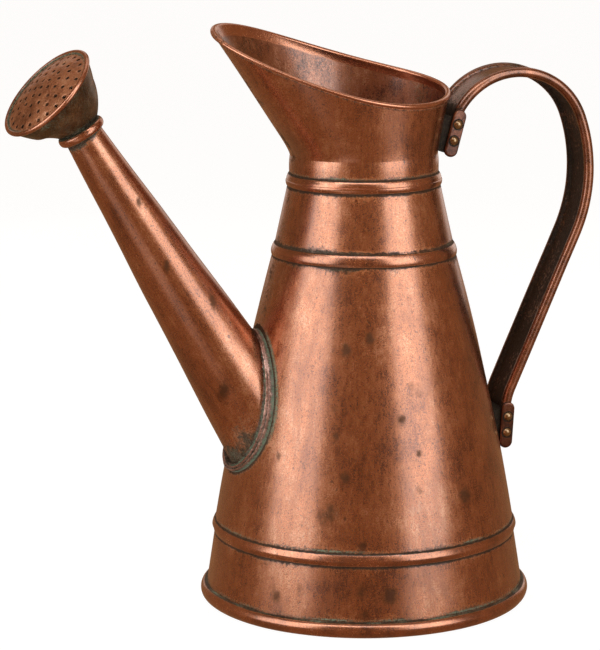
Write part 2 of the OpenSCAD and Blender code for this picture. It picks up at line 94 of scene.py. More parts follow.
# hood
LIP_REACH = 82.0
MOUTH_BACK = 45.3
MOUTH_HALF_W = 43.0
LIP_Z = 309.7
MOUTH_BACK_Z = 277.8
MOUTH_LEAN = 10.0
MOUTH_ROLL = 1.6
HOOD_LOW_Z = span("hood")[0][2]

# spout and rose
SPOUT_Z = 117.0
SPOUT_TILT = math.radians(31)
SPOUT_LEN = 176.0
SPOUT_ROOT_R = 24.0
SPOUT_TIP_R = 9.4
SADDLE_TILT = math.radians(42)
SADDLE_Z = 113.5
SADDLE_R = 32.0
SADDLE_H = 2.6
ROSE_R = 27.6
ROSE_H = 19.0
ROSE_BEND = math.radians(17)
ROSE_TURN = math.radians(33)
ROSE_DOME = 4.6
ROSE_ROLL = 1.3
BELL_BULGE = 1.6
BELL_T = 1.1
ELBOW_S = SPOUT_LEN + 2.2
RING_S = SPOUT_LEN - 7
HOLE_R = 1.0
HOLE_RINGS = (1, 6, 12, 18, 24)
HOLE_STEP = (ROSE_R - 4.2) / 4

# handle
STRAP_W = 30.0
STRAP_ROLL = 2.75
STRAP_T = 1.8
STRAP_TOP = (48.3, 262.5)
HEADINGS = (75, 56, -71, -114, -94)
RADII = (20.0, 39.0, 88.0, 36.0)
STRAP_RUN = 90.0
CHEEK_W = 7.4
CHEEK_L = 26.0
CHEEK_T = 2.0
CHEEK_LAP = 4.6
RIVET_AT = (-3.4, -12.4)
RIVET_R = 1.6
RIVET_HEAD_R = 2.5
RIVET_HEAD_H = 1.5
LUG_IN = 12.0
LUG_OUT = CHEEK_W / 2 - 0.4
LUG_L = CHEEK_L - CHEEK_LAP - 1.6


# ------------ mesh helpers
def cols(*values):
    """Arrays and numbers as the columns of one array."""
    return np.stack(np.broadcast_arrays(*values), -1)


def step(x, lo, hi):
    """Smooth step from 0 at lo to 1 at hi."""
    t = np.clip((x - lo) / (hi - lo), 0, 1)
    return t * t * (3 - 2 * t)


def bell(d, w):
    return np.exp(-(d / w) ** 2)


def quads(nu, nv, wrap_u=False, wrap_v=True):
    """Quads of a grid of nu rows of nv points, point (i, j) at i * nv + j."""
    i, j = np.meshgrid(np.arange(nu if wrap_u else nu - 1),
                       np.arange(nv if wrap_v else nv - 1), indexing="ij")
    i2, j2 = (i + 1) % nu, (j + 1) % nv
    return cols(i * nv + j, i2 * nv + j, i2 * nv + j2, i * nv + j2).reshape(-1, 4)


def outward(points, faces):
    """The faces, turned over if the closed mesh is inside out."""
    total = 0.0
    for f in faces if isinstance(faces, list) else [faces]:
        for k in range(1, f.shape[1] - 1):
            a, b, c = points[f[:, 0]], points[f[:, k]], points[f[:, k + 1]]
            total += np.einsum("ij,ij->i", a, np.cross(b, c)).sum()
    if total >= 0:
        return faces
    return [f[:, ::-1] for f in faces] if isinstance(faces, list) else faces[:, ::-1]


WARPS = ((46.0, 0.30, 11.0), (15.0, 0.045, 53.0))    # mm across, mm high, shift


def warp(points):
    """Slight unevenness of hand-worked sheet, the same field for every piece."""
    out = points.copy()
    for size, height, shift in WARPS:
        field = [noise.noise_vector(Vector((p / size + shift).tolist())) for p in points]
        out += height * np.array(field)
    out[:, 2] = np.where(points[:, 2] < 1.0, points[:, 2], out[:, 2])
    return out


def piece(name, node, material, points, faces, masks, sharp=38):
    """A visible piece that stands for one CAD node. masks maps a name to a value per point."""
    faces = outward(points, faces)
    points = warp(points)
    rows = [f.tolist() for f in faces] if isinstance(faces, list) else [faces.tolist()]
    mesh = bpy.data.meshes.new(name)
    mesh.from_pydata((points * MM).tolist(), [], [q for r in rows for q in r])
    mesh.update()
    for key in ("grime_and_shade", "green", "wear_and_highlight", "blot"):
        value = np.broadcast_to(np.asarray(masks.get(key, 0.0), float), (len(points),))
        made = mesh.attributes.new(key, "FLOAT", "POINT")
        made.data.foreach_set("value", np.ascontiguousarray(value))
    mesh.polygons.foreach_set("use_smooth", [True] * len(mesh.polygons))
    mesh.set_sharp_from_angle(angle=math.radians(sharp))
    mesh.materials.append(material)
    obj = bpy.data.objects.new(name, mesh)
    bpy.context.scene.collection.objects.link(obj)
    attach(obj, "root")
    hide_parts(node)
    return obj


def turned_piece(node, material, points, segments, masks, sharp=38, name=None):
    """A piece whose points are closed rings of segments points, row after row, closed too."""
    rows = len(points) // segments
    return piece(name or node + "_piece", node, material, points,
                 quads(rows, segments, wrap_u=True), masks, sharp)


def circle(n):
    """n even angles and the (cos, sin) of each."""
    a = np.arange(n) * 2 * math.pi / n
    return a, cols(np.cos(a), np.sin(a))


def triangles(points, edges, inside):
    """Delaunay triangles over flat points, as (x, y) and corner arrays."""
    co, _, tris, _, _, _ = delaunay_2d_cdt(points, edges, [], inside, 1e-5)
    return np.array([tuple(c) for c in co]), np.array([f for f in tris if len(f) == 3])


def only_used(points, *groups):
    """The points that some face uses, and the groups of faces renumbered to match."""
    used = np.zeros(len(points), bool)
    for f in groups:
        used[f] = True
    index = np.cumsum(used) - 1
    return points[used], [index[f] for f in groups]


def finer(line, gap):
    """The points of a closed outline with none further apart than gap."""
    out = []
    for a, b in zip(line, np.roll(line, -1, 0)):
        n = max(1, math.ceil(np.linalg.norm(b - a) / gap))
        out += [a + (b - a) * k / n for k in range(n)]
    return np.array(out)


def revolved(line, segments):
    """Points of a closed (radius, height) outline turned about Z, row by row."""
    a = np.arange(segments) * 2 * math.pi / segments
    r, z = line[:, :1], line[:, 1:]
    return cols(r * np.cos(a), r * np.sin(a), z + 0 * a).reshape(-1, 3)


def sheet_line(outer):
    outer = np.array(outer, float)
    return np.concatenate([outer, outer[::-1] - [SHEET, 0]])


def place(points, origin, x, y, z):
    return np.array(origin) + points @ np.array([x, y, z])


def radius(points):
    return np.hypot(points[:, 0], points[:, 1])


# ------------ surfaces of the can
def cone_r(z):
    t = (z - FOOT_Z) / (SHOULDER_Z - FOOT_Z)
    return WAIST_R + (SHOULDER_R - WAIST_R) * t + 4 * BULGE * t * (1 - t)


def foot_r(z):
    return BAND_LOW_R + (BAND_TOP_R - BAND_LOW_R) * (z - BAND_LOW_Z) / (BAND_TOP_Z - BAND_LOW_Z)


def band_r(z):
    return SHOULDER_R + (NECK_R + 0.3 - SHOULDER_R) * (z - SHOULDER_Z) / (NECK_Z - SHOULDER_Z)


SEAMS = [(RING_H - 0.4, 1), (FOOT_Z - BEAD_HALF, -1), (FOOT_Z + BEAD_HALF, 1),
         (SHOULDER_Z - BEAD_HALF, -1), (SHOULDER_Z + BEAD_HALF, 1),
         (NECK_Z - BEAD_HALF, -1), (NECK_Z + BEAD_HALF, 1)]

# Dark tarnish spots: azimuth in degrees from +X, height and radius in mm, strength.
SPOTS = [(-117, 148, 3.0, 0.9), (-105, 154.5, 2.8, 1.0), (-121, 117, 2.6, 0.55),
         (-91, 112, 2.4, 0.9), (-120, 104, 2.6, 0.75), (-84.5, 94.5, 1.7, 0.9),
         (-146, 91, 2.4, 0.55), (-115.5, 83, 3.0, 0.8), (-86, 76, 2.2, 0.5),
         (-122, 63.5, 6.5, 0.6), (-121, 66, 2.8, 0.8), (-108.5, 48, 2.6, 0.8),
         (-64, 69, 4.4, 0.85), (-70, 128, 4.5, 0.45), (-83.5, 126, 5.5, 0.35),
         (-105, 74, 12.0, 0.22), (-95, 92, 10.0, 0.22), (-141, 19, 4.0, 0.7),
         (-131, 23, 3.5, 0.45), (-98.5, 22, 4.2, 0.85), (-109, 24.5, 3.6, 0.6),
         (-108, 12, 3.4, 0.6), (-30, 96, 4.0, 0.6), (-10, 150, 3.2, 0.7),
         (25, 70, 5.0, 0.7), (58, 120, 3.4, 0.8), (80, 60, 4.0, 0.8), (104, 138, 3.2, 0.8),
         (126, 88, 5.0, 0.7), (150, 60, 3.6, 0.7), (165, 165, 3.0, 0.7), (95, 24, 4.0, 0.8),
         (20, 22, 3.6, 0.8), (140, 215, 2.6, 0.6), (70, 208, 2.6, 0.6)]


def uneven(points, size, shift):
    """A smooth field of about 0 to 1 that varies over size millimetres."""
    return np.array([0.5 + 0.75 * noise.noise(Vector((p / size + shift).tolist()))
                     for p in points]).clip(0, 1)


def seam_masks(points):
    """Grime and green along the seams, painted shade with some dirt up the side over the spout,
    dark spots, for a piece of the can's wall.
    """
    z, r = points[:, 2], radius(points)
    azimuth = np.arctan2(points[:, 1], points[:, 0])
    grime_and_shade, green, blot = np.zeros(len(points)), np.zeros(len(points)), np.zeros(len(points))
    patchy, ragged = uneven(points, 17.0, 5.0), uneven(points, 4.0, 31.0)
    for height, side in SEAMS:
        d = (z - height) * side
        near = np.where(d > 0, bell(d, 0.7 + 1.1 * patchy), bell(d, 0.8))
        grime_and_shade = np.maximum(grime_and_shade, near * (0.80 + 0.35 * ragged))
        grime_and_shade = np.maximum(grime_and_shade, 0.34 * (0.5 + patchy) * np.where(d > 0, bell(d, 6.5), 0))
        lying = 0.78 if side > 0 else 0.42
        green = np.maximum(green, lying * bell(d - 1.2, 0.9) * (0.45 + 0.8 * patchy))
    # painted shade: a dark band up the side over the spout, with some dirt and green
    spout_side_shade = bell(np.degrees(np.angle(-np.exp(1j * azimuth))), 15) * step(z, 120, 150)
    grime_and_shade = np.maximum(grime_and_shade, spout_side_shade * (0.20 + 0.45 * uneven(points, 8.0, 50.0)))
    green = np.maximum(green, 0.34 * spout_side_shade)
    for angle, height, size, strength in SPOTS:
        across = r * np.angle(np.exp(1j * (azimuth - math.radians(angle))))
        d = np.hypot(across, (z - height) * 0.85)
        blot = np.maximum(blot, strength * np.exp(-(d / size) ** 2 * 0.8))
    return {"grime_and_shade": grime_and_shade, "green": green, "blot": blot}


def bead_line(z, peak, back):
    """Closed section of a bead: a round face over the sheets it covers."""
    t = np.linspace(-1, 1, 41)
    t = np.sign(t) * (1 - (1 - np.abs(t)) ** 1.5)
    heights = z + BEAD_HALF * t
    low = back(heights) - 0.05
    crown = peak - back(np.array([z]))[0]
    front = back(heights) + 0.15 + (crown - 0.15) * (1 - t ** 2) ** 0.9
    return np.concatenate([cols(front, heights),
                           cols(low, heights)[::-1]])


def rim(u):
    c, s = np.cos(u), np.sin(u)
    share = (1 - c) / 2
    x = (MOUTH_BACK - LIP_REACH) / 2 - (MOUTH_BACK + LIP_REACH) / 2 * c
    y = MOUTH_HALF_W * s * (1 - 0.15 * c)
    z = LIP_Z - (LIP_Z - MOUTH_BACK_Z) * np.sin(math.pi / 2 * share ** 1.1)
    return cols(x, y, z + MOUTH_LEAN * s * (1 + 0.13 * c))


def unit(v):
    return v / np.linalg.norm(v, axis=-1, keepdims=True)


def hood_grid(stations, rows, soft_rows=8, roll_rows=22):
    """Rows of points round the hood's closed section, each row with one point per station."""
    u = np.arange(stations) * 2 * math.pi / stations
    out = cols(-np.cos(u), np.sin(u), 0)
    up = np.array([0, 0, 1.0])
    low_r, wall_r = NECK_R - SHEET, NECK_R - 0.5
    foot, step_up = low_r * out + up * HOOD_LOW_Z, low_r * out + up * NECK_TOP
    start, kink = wall_r * out + up * (NECK_TOP + 1.2), wall_r * out + up * (NECK_TOP + 3.4)
    edge = rim(u)
    wall = unit(edge - kink)
    along = rim(u + 0.01) - rim(u - 0.01)
    flat = unit(cols(-along[:, 1], along[:, 0], 0))
    side = unit(flat - (flat * wall).sum(-1, keepdims=True) * wall)
    gap = math.asin(SHEET / 2 / MOUTH_ROLL)

    def roll(a):
        return edge + MOUTH_ROLL * (math.cos(a) * side + math.sin(a) * wall)

    top = roll(gap - math.pi / 2)
    soft = 0.13
    bend = kink * (1 - soft) + top * soft
    outer, share = [foot, step_up], [0, 0]
    for k in range(soft_rows + 1):
        q = k / soft_rows
        outer.append((1 - q) ** 2 * start + 2 * q * (1 - q) * kink + q * q * bend)
        share.append(soft * q)
    for k in range(1, rows):
        q = soft + (1 - soft) * k / rows
        outer.append(kink * (1 - q) + top * q)
        share.append(q)
    turn = [roll(gap - math.pi / 2 + (1.62 * math.pi - gap) * k / roll_rows)
            for k in range(roll_rows + 1)]
    inner = [p - SHEET * unit((1 - q) * out + q * side) for p, q in zip(outer, share)][-3::-1]
    return np.array(outer + turn + inner), len(outer), len(turn)


# ------------ spout frame
SPOUT_AT = (-cone_r(SPOUT_Z), 0, SPOUT_Z)
SPOUT_X = (math.cos(SPOUT_TILT), 0, math.sin(SPOUT_TILT))
SPOUT_DIR = (-math.sin(SPOUT_TILT), 0, math.cos(SPOUT_TILT))
SIDE_Y = (0, 1, 0)
INSIDE = -40.0          # lines that run out to the can's wall start this far inside it


def spout_r(s):
    return SPOUT_ROOT_R - (SPOUT_ROOT_R - SPOUT_TIP_R) * s / SPOUT_LEN


def at_spout(points):
    return place(points, SPOUT_AT, SPOUT_X, SIDE_Y, SPOUT_DIR)


def spout_lines(ring, inset=0.0):
    """Tip points, and where the tube's straight lines from them meet the can."""
    def level(s, r):
        return at_spout(cols(ring[:, 0] * r, ring[:, 1] * r, s))

    low = level(INSIDE, spout_r(INSIDE) - inset)
    tip = level(SPOUT_LEN, SPOUT_TIP_R - inset)
    length = np.linalg.norm(tip - low, axis=1)[:, None]
    return tip, meets_can(low, (tip - low) / length, 0.0, length.min())


def rose_axes():
    """Elbow point and the rose's three axes, in the row frame."""
    ct, st, cb, sb = (math.cos(ROSE_TURN), math.sin(ROSE_TURN), math.cos(ROSE_BEND),
                      math.sin(ROSE_BEND))
    local = np.array([[ct * cb, st * cb, sb], [-st, ct, 0], [-ct * sb, -st * sb, cb]])
    basis = np.array([SPOUT_X, SIDE_Y, SPOUT_DIR])
    return at_spout(np.array([[0, 0, ELBOW_S]]))[0], local @ basis


def at_rose(points):
    origin, axes = rose_axes()
    return origin + points @ axes


def meets_can(origin, direction, lo, hi):
    """Where each line origin + t * direction crosses the cone's outer face, by bisection."""
    lo, hi = np.full(len(origin), float(lo)), np.full(len(origin), float(hi))
    for _ in range(40):
        mid = (lo + hi) / 2
        p = origin + mid[:, None] * direction
        inside = radius(p) < cone_r(p[:, 2])
        lo, hi = np.where(inside, mid, lo), np.where(inside, hi, mid)
    return origin + hi[:, None] * direction


# ------------ materials
class Shader:
    """A small builder of node trees."""

    def __init__(self, name):
        self.material = bpy.data.materials.new(name)
        self.material.use_nodes = True
        self.tree = self.material.node_tree
        self.tree.nodes.clear()
        self.place = self.tree.nodes.new("ShaderNodeTexCoord").outputs["Object"]

    def node(self, kind, settings=None, **inputs):
        made = self.tree.nodes.new("ShaderNode" + kind)
        for key, value in (settings or {}).items():
            setattr(made, key, value)
        for key, value in inputs.items():
            socket = made.inputs[int(key[1:])] if key[0] == "_" else made.inputs[
                key.replace("_", " ")]
            if hasattr(value, "is_output") or isinstance(value, bpy.types.NodeSocket):
                self.tree.links.new(value, socket)
            else:
                socket.default_value = value
        return made

    def attribute(self, name):
        return self.node("Attribute", {"attribute_name": name}).outputs["Fac"]

    def stretched(self, turn, scale):
        """Coordinates turned by Euler angles and scaled per axis."""
        return self.node("Mapping", {"vector_type": "TEXTURE"}, Vector=self.place,
                         Rotation=turn, Scale=scale).outputs[0]

    def noise(self, scale, detail=4.0, rough=0.55, vector=None, distortion=0.0):
        return self.node("TexNoise", Vector=self.place if vector is None else vector, Scale=scale,
                         Detail=detail, Roughness=rough, Distortion=distortion).outputs["Fac"]

    def math(self, operation, a, b, c=0.0):
        return self.node("Math", {"operation": operation}, _0=a, _1=b, _2=c).outputs[0]

    def times(self, a, b):
        return self.math("MULTIPLY", a, b)

    def larger(self, a, b):
        return self.math("MAXIMUM", a, b)

    def scaled(self, value, factor, base):
        """value times factor, plus base."""
        return self.math("MULTIPLY_ADD", value, factor, base)

    def limits(self, value, lo, hi):
        """value from lo..hi to 0..1, smooth and clamped."""
        return self.node("MapRange", {"interpolation_type": "SMOOTHSTEP"}, Value=value,
                         From_Min=lo, From_Max=hi, To_Min=0.0, To_Max=1.0).outputs[0]

    def mix(self, share, a, b):
        return self.node("Mix", {"data_type": "RGBA"}, _0=share, _6=a, _7=b).outputs[2]

    def shifted(self, value, factor, base):
        """base plus factor times how far value lies from its middle, 0.5."""
        return self.scaled(self.math("SUBTRACT", value, 0.5), factor, base)

    def bump(self, height, distance):
        return self.node("Bump", None, Height=height, Distance=distance,
                         Strength=1.0).outputs[0]

    def finish(self, shader):
        output = self.node("OutputMaterial")
        self.tree.links.new(shader.outputs[0], output.inputs["Surface"])
        return self.material


def rgb(red, green, blue):
    return (red, green, blue, 1.0)


def copper(name, low, mid, high, rough, grain=(0, 0, 0), stretch=(1, 1, 1), coat=0.9,
           mottling=0.6, speck=1.15, relief=0.00010):
    """Aged copper. low, mid and high are its tones; grain turns and stretch draws out the
    brushing; the masks grime_and_shade (grime, and painted shade in places), green,
    wear_and_highlight (wear, and painted highlights in places) and blot come from the mesh."""
    s = Shader(name)
    grime_and_shade, green, wear_and_highlight, blot = (s.attribute(k) for k in ("grime_and_shade", "green", "wear_and_highlight", "blot"))
    brushed = s.stretched(grain, stretch)
    clouds = s.noise(24.0, 4.0, 0.55, distortion=0.5)
    patches = s.noise(90.0, 5.0, 0.6)
    specks = s.noise(1500.0, 3.0, 0.7)
    streaks = s.noise(620.0, 3.0, 0.6, vector=brushed)
    broad = s.noise(150.0, 2.0, 0.5, vector=brushed)

    tone = s.scaled(clouds, 0.85, 0.05)
    tone = s.shifted(patches, mottling, tone)
    tone = s.shifted(specks, speck, tone)
    tone = s.shifted(streaks, 0.5, tone)
    tone = s.shifted(broad, 0.4, tone)
    colour = s.mix(s.limits(tone, 0.14, 0.50), low, mid)
    colour = s.mix(s.limits(tone, 0.50, 0.90), colour, high)
    smoke = s.noise(38.0, 5.0, 0.62, vector=s.stretched(grain, (1, 1, 3)), distortion=0.4)
    colour = s.mix(s.times(s.limits(smoke, 0.50, 0.72), 0.62), colour, low)

    # pits: fine dark flecks all over, and a few larger ones
    flecks = s.noise(1700.0, 2.0, 0.5, vector=s.stretched(grain, (1, 1, 1.5)))
    pits = s.limits(s.scaled(clouds, -0.05, flecks), 0.575, 0.655)
    sparse = s.limits(s.noise(430.0, 2.0, 0.4), 0.70, 0.745)
    pits = s.larger(s.times(pits, 0.75), sparse)
    colour = s.mix(s.times(pits, 0.66), colour, rgb(0.065, 0.022, 0.009))

    # soft dark spots with ragged borders
    ragged = s.noise(210.0, 7.0, 0.82)
    spots = s.limits(s.shifted(ragged, 1.7, blot),
                     0.18, 0.80)
    colour = s.mix(s.times(spots, 0.80), colour, rgb(0.085, 0.050, 0.032))

    # worn places show brighter metal; on the mouth roll, bead crowns, strap edges and
    # saddle ridges this is partly a painted highlight
    rubbed_and_highlit = s.limits(s.shifted(patches, 0.8, wear_and_highlight),
                      0.25, 0.95)
    colour = s.mix(s.times(rubbed_and_highlit, 0.8), colour, rgb(0.62, 0.235, 0.105))

    # grime in the creases, and painted shade where the mask carries it (strap web and ends,
    # lugs, under the mouth roll, saddle hollows, the side over the spout), then pale salts on it
    torn = s.noise(520.0, 5.0, 0.72)
    dirt_and_shade = s.limits(s.shifted(torn, 1.25, grime_and_shade),
                    0.34, 0.70)
    dirt_and_shade_tone = s.mix(s.limits(s.noise(900.0, 3.0, 0.6), 0.35, 0.7),
                      rgb(0.007, 0.005, 0.003), rgb(0.030, 0.024, 0.015))
    colour = s.mix(s.times(dirt_and_shade, 0.92), colour, dirt_and_shade_tone)
    crumbs = s.noise(1300.0, 4.0, 0.75)
    salts = s.times(s.limits(green, 0.10, 0.75),
                   s.limits(s.scaled(green, 0.17, crumbs), 0.565, 0.665))
    salt_tone = s.mix(s.limits(s.noise(210.0, 3.0, 0.6), 0.40, 0.62),
                      rgb(0.20, 0.165, 0.105), rgb(0.105, 0.130, 0.082))
    salt_tone = s.mix(s.limits(green, 0.60, 0.95), salt_tone, rgb(0.21, 0.28, 0.19))
    colour = s.mix(s.times(salts, 0.88), colour, salt_tone)

    covered = s.larger(dirt_and_shade, salts)
    metal = s.scaled(covered, -0.80, 0.96)
    bare = s.scaled(s.larger(covered, spots), -0.9, 1.0)
    shine = s.times(bare, coat)
    dull = s.shifted(patches, 0.20, rough)
    dull = s.shifted(specks, 0.20, dull)
    dull = s.shifted(streaks, 0.16, dull)
    dull = s.scaled(spots, 0.18, dull)
    dull = s.larger(s.times(covered, 0.8), dull)

    height = s.scaled(specks, 0.30, s.times(streaks, 0.35))
    height = s.scaled(pits, -0.55, height)
    height = s.scaled(patches, 0.35, height)
    height = s.scaled(s.times(covered, torn), 3.5, height)
    normal = s.bump(height, relief)

    shader = s.node("BsdfPrincipled", None, Base_Color=colour, Metallic=metal, Roughness=dull,
                    Normal=normal, Coat_Weight=shine, Coat_Roughness=0.24, Coat_IOR=1.9,
                    Specular_IOR_Level=0.2)
    return s.finish(shader)


def plain(name, colour, roughness, glow):
    s = Shader(name)
    shader = s.node("BsdfPrincipled", None, Base_Color=colour, Roughness=roughness,
                    Emission_Color=rgb(1, 1, 1), Emission_Strength=glow)
    return s.finish(shader)


BROWN = rgb(0.20, 0.054, 0.016)
COPPER = rgb(0.47, 0.157, 0.053)
PALE = rgb(0.74, 0.37, 0.205)
DRAWN = (1, 1, 9)       # brush marks run along the sheet
aged = copper("aged_copper", BROWN, COPPER, PALE, 0.28, stretch=DRAWN)
spout_aged = copper("aged_copper_spout", BROWN, COPPER, PALE, 0.28,
                    grain=(0, -SPOUT_TILT, 0), stretch=DRAWN)
worn = copper("worn_copper", rgb(0.22, 0.066, 0.022), rgb(0.47, 0.160, 0.060),
              rgb(0.70, 0.34, 0.19), 0.22, speck=0.35)
plate = copper("cheek_copper", rgb(0.05, 0.017, 0.008), rgb(0.13, 0.041, 0.018),
               rgb(0.30, 0.115, 0.060), 0.34, mottling=1.2, coat=0.3)
# also used for the lugs, where its darkness partly paints the shade between the cheeks
dark = copper("dark_copper", rgb(0.030, 0.015, 0.008), rgb(0.080, 0.036, 0.020),
              rgb(0.20, 0.088, 0.046), 0.50, mottling=1.0, coat=0.15)
inside_dark = copper("inside_copper", rgb(0.13, 0.038, 0.015), rgb(0.34, 0.115, 0.047),
                     rgb(0.60, 0.30, 0.18), 0.30, mottling=1.0, stretch=DRAWN)
bell_dark = copper("rose_copper", rgb(0.052, 0.031, 0.013), rgb(0.150, 0.086, 0.037),
                   rgb(0.34, 0.205, 0.100), 0.42, mottling=1.6, speck=1.2,
                   coat=0.3, relief=0.00036)
face_aged = copper("rose_face_copper", rgb(0.27, 0.110, 0.052), rgb(0.60, 0.270, 0.140),
                   rgb(0.80, 0.47, 0.29), 0.38, mottling=1.2, speck=1.0,
                   coat=0.3)
crusted = copper("crusted_copper", rgb(0.11, 0.055, 0.038), rgb(0.38, 0.205, 0.155),
                 rgb(0.74, 0.48, 0.40), 0.40, mottling=1.6, speck=1.4,
                 coat=0.4, relief=0.00030)
# the strap's dark tones are partly its own patina and partly painted shade of its web
strap_mat = copper("strap_copper", rgb(0.060, 0.022, 0.009), rgb(0.22, 0.076, 0.033),
                   rgb(0.46, 0.185, 0.095), 0.28, mottling=0.9, speck=0.5,
                   coat=0.7)
brass = copper("dull_brass", rgb(0.13, 0.070, 0.022), rgb(0.34, 0.20, 0.070),
               rgb(0.62, 0.43, 0.20), 0.28, speck=0.4)


# ------------ the can's wall
WALL_SEGMENTS = 384


def wall_piece(name, outer, gap=1.6):
    """A sheet of the can's wall, from the (radius, height) points of its outer face."""
    line = finer(sheet_line(outer), gap)
    points = revolved(line, WALL_SEGMENTS)
    turned_piece(name, aged, points, WALL_SEGMENTS, seam_masks(points))


def make_foot_ring():
    a = np.linspace(0, 2 * math.pi, 49)[:-1]
    line = cols(RING_MID_R + RING_SECT_R * np.cos(a),
                     RING_H / 2 + RING_SECT_R * np.sin(a))
    line[:, 1] = np.clip(line[:, 1], 0, RING_H)
    points = revolved(line, WALL_SEGMENTS)
    z, r = points[:, 2], radius(points)
    crease = bell(z - RING_H, 1.1) * step(-r, -RING_MID_R - 3.2, -RING_MID_R - 2.0)
    masks = {"grime_and_shade": np.maximum(crease, 0.55 * step(-z, -1.6, 0)),
             "green": 0.62 * crease * (0.4 + uneven(points, 9.0, 6.0)),
             "wear_and_highlight": 0.46 * step(r, BASE_R - 4.5, BASE_R - 1.0) * step(z, 1.5, 4.0)}
    turned_piece("foot_ring", worn, points, WALL_SEGMENTS, masks)


def make_base_disc():
    flange = 7.0
    low, high = foot_r(DISC_Z) - SHEET, foot_r(DISC_Z + flange) - SHEET
    line = np.array([[0.02, DISC_Z], [low, DISC_Z], [high, DISC_Z + flange],
                     [high - SHEET, DISC_Z + flange], [low - SHEET, DISC_Z + SHEET],
                     [0.02, DISC_Z + SHEET]])
    line = finer(line, 4.0)
    points = revolved(line, 192)
    r = radius(points)
    turned_piece("base_disc", dark, points, 192, {
        "grime_and_shade": 0.35 + 0.5 * bell(r - low, 6), "green": 0.7 * bell(r - low, 5)})


def make_walls():
    foot = [[BAND_LOW_R, BAND_LOW_Z], [BAND_TOP_R, BAND_TOP_Z],
            [cone_r(FOOT_Z - EDGE) - SHEET, FOOT_Z - EDGE],
            [cone_r(FOOT_Z + LAP) - SHEET, FOOT_Z + LAP]]
    wall_piece("foot_band", foot)
    shoulder_low = SHOULDER_Z + EDGE + JOGGLE
    neck_low = NECK_Z + EDGE + JOGGLE
    shoulder = [[cone_r(SHOULDER_Z - LAP) - SHEET, SHOULDER_Z - LAP],
                [cone_r(SHOULDER_Z + EDGE) - SHEET, SHOULDER_Z + EDGE],
                [band_r(shoulder_low), shoulder_low], [band_r(NECK_Z + EDGE), NECK_Z + EDGE]]
    wall_piece("shoulder_band", shoulder)
    neck = [[band_r(NECK_Z - LAP) - SHEET, NECK_Z - LAP],
            [band_r(NECK_Z + EDGE) - SHEET, NECK_Z + EDGE], [NECK_R, neck_low],
            [NECK_R, NECK_TOP - 3.0], [NECK_R - 0.05, NECK_TOP - 1.6],
            [NECK_R - 0.18, NECK_TOP], [NECK_R - 0.40, NECK_TOP + 1.6],
            [NECK_R - 0.70, NECK_TOP + 3.2]]
    wall_piece("neck_band", neck, gap=0.8)


def make_body():
    z = np.linspace(FOOT_Z - EDGE, SHOULDER_Z + EDGE, 110)
    outer = cols(cone_r(z), z)
    line = sheet_line(outer)
    points = revolved(line, WALL_SEGMENTS)
    masks = seam_masks(points)
    # dirt and a green smear round the saddle, on the outer face
    axis = np.array([SPOUT_AT[0], 0, SADDLE_Z])
    across = np.array([math.cos(SADDLE_TILT), 0, math.sin(SADDLE_TILT)])
    d = points - axis
    away = np.hypot(d @ across, d[:, 1]) - SADDLE_R
    front = points[:, 0] < 0
    masks["grime_and_shade"] = np.maximum(masks["grime_and_shade"], front * (0.95 * bell(away, 1.3)
                                                         + 0.30 * bell(away, 6.0)))
    lower = step(-(d @ across), -6, 22)
    smear = bell(away - 1.8, 1.5) * step(-points[:, 1], 6, 14) * step(d @ across, -16, 0)
    masks["green"] = np.maximum(masks["green"], front * (0.95 * smear + 0.35 * lower
                                                         * bell(away - 1.0, 1.6)))
    turned_piece("body_cone", aged, points, WALL_SEGMENTS, masks)


def make_beads():
    beads = [("lower_bead", FOOT_Z, WAIST_R + BEAD_PROUD,
              lambda z: np.where(z < FOOT_Z, foot_r(z), cone_r(z))),
             ("shoulder_bead", SHOULDER_Z, SHOULDER_R + BEAD_PROUD,
              lambda z: np.where(z < SHOULDER_Z, cone_r(z), band_r(z))),
             ("neck_bead", NECK_Z, NECK_R + 0.3 + BEAD_PROUD,
              lambda z: np.where(z < NECK_Z, band_r(z), NECK_R + 0 * z))]
    for name, z, peak, back in beads:
        line = bead_line(z, peak, back)
        points = revolved(line, WALL_SEGMENTS)
        t = (points[:, 2] - z) / BEAD_HALF
        crease = step(np.abs(t), 0.72, 0.98)
        # the crown of each bead is brighter: wear, and partly a painted highlight along its upper
        # middle
        turned_piece(name, worn, points, WALL_SEGMENTS, {
            "grime_and_shade": 0.95 * crease, "green": 0.35 * crease * (t > 0),
            "wear_and_highlight": 0.50 * bell(t - 0.1, 0.5)})


def make_hood():
    stations, rows = 384, 44
    grid, n_outer, n_roll = hood_grid(stations, rows)
    points = grid.reshape(-1, 3)
    row = np.repeat(np.arange(len(grid)), stations)
    on_roll = (row >= n_outer - 1) & (row <= n_outer + n_roll)
    # painted shade: a dark line just under the mouth's roll, on the outer face
    under_roll = bell(row - n_outer + 1.0, 1.3)
    inner = row > n_outer + n_roll
    masks = seam_masks(points)
    streaky = uneven(points, 14.0, 70.0)
    masks["grime_and_shade"] = np.maximum(masks["grime_and_shade"] * (~inner), 0.62 * under_roll)
    masks["grime_and_shade"] = np.where(inner, 0.12 + 0.26 * streaky, masks["grime_and_shade"])
    masks["green"] = np.where(inner, 0.10 + 0.34 * streaky, masks["green"] * 0.7)
    # the mouth roll is brighter: wear, and partly a painted highlight along it
    masks["wear_and_highlight"] = np.where(on_roll, 0.85, 0.0)
    obj = turned_piece("hood", aged, points, stations, masks)
    obj.data.materials.append(inside_dark)
    obj.data.materials.append(worn)
    band = np.arange(len(obj.data.polygons)) // stations
    index = np.where(band >= n_outer + n_roll, 1, np.where(band >= n_outer, 2, 0))
    obj.data.polygons.foreach_set("material_index", index)
    return grid[:n_outer]


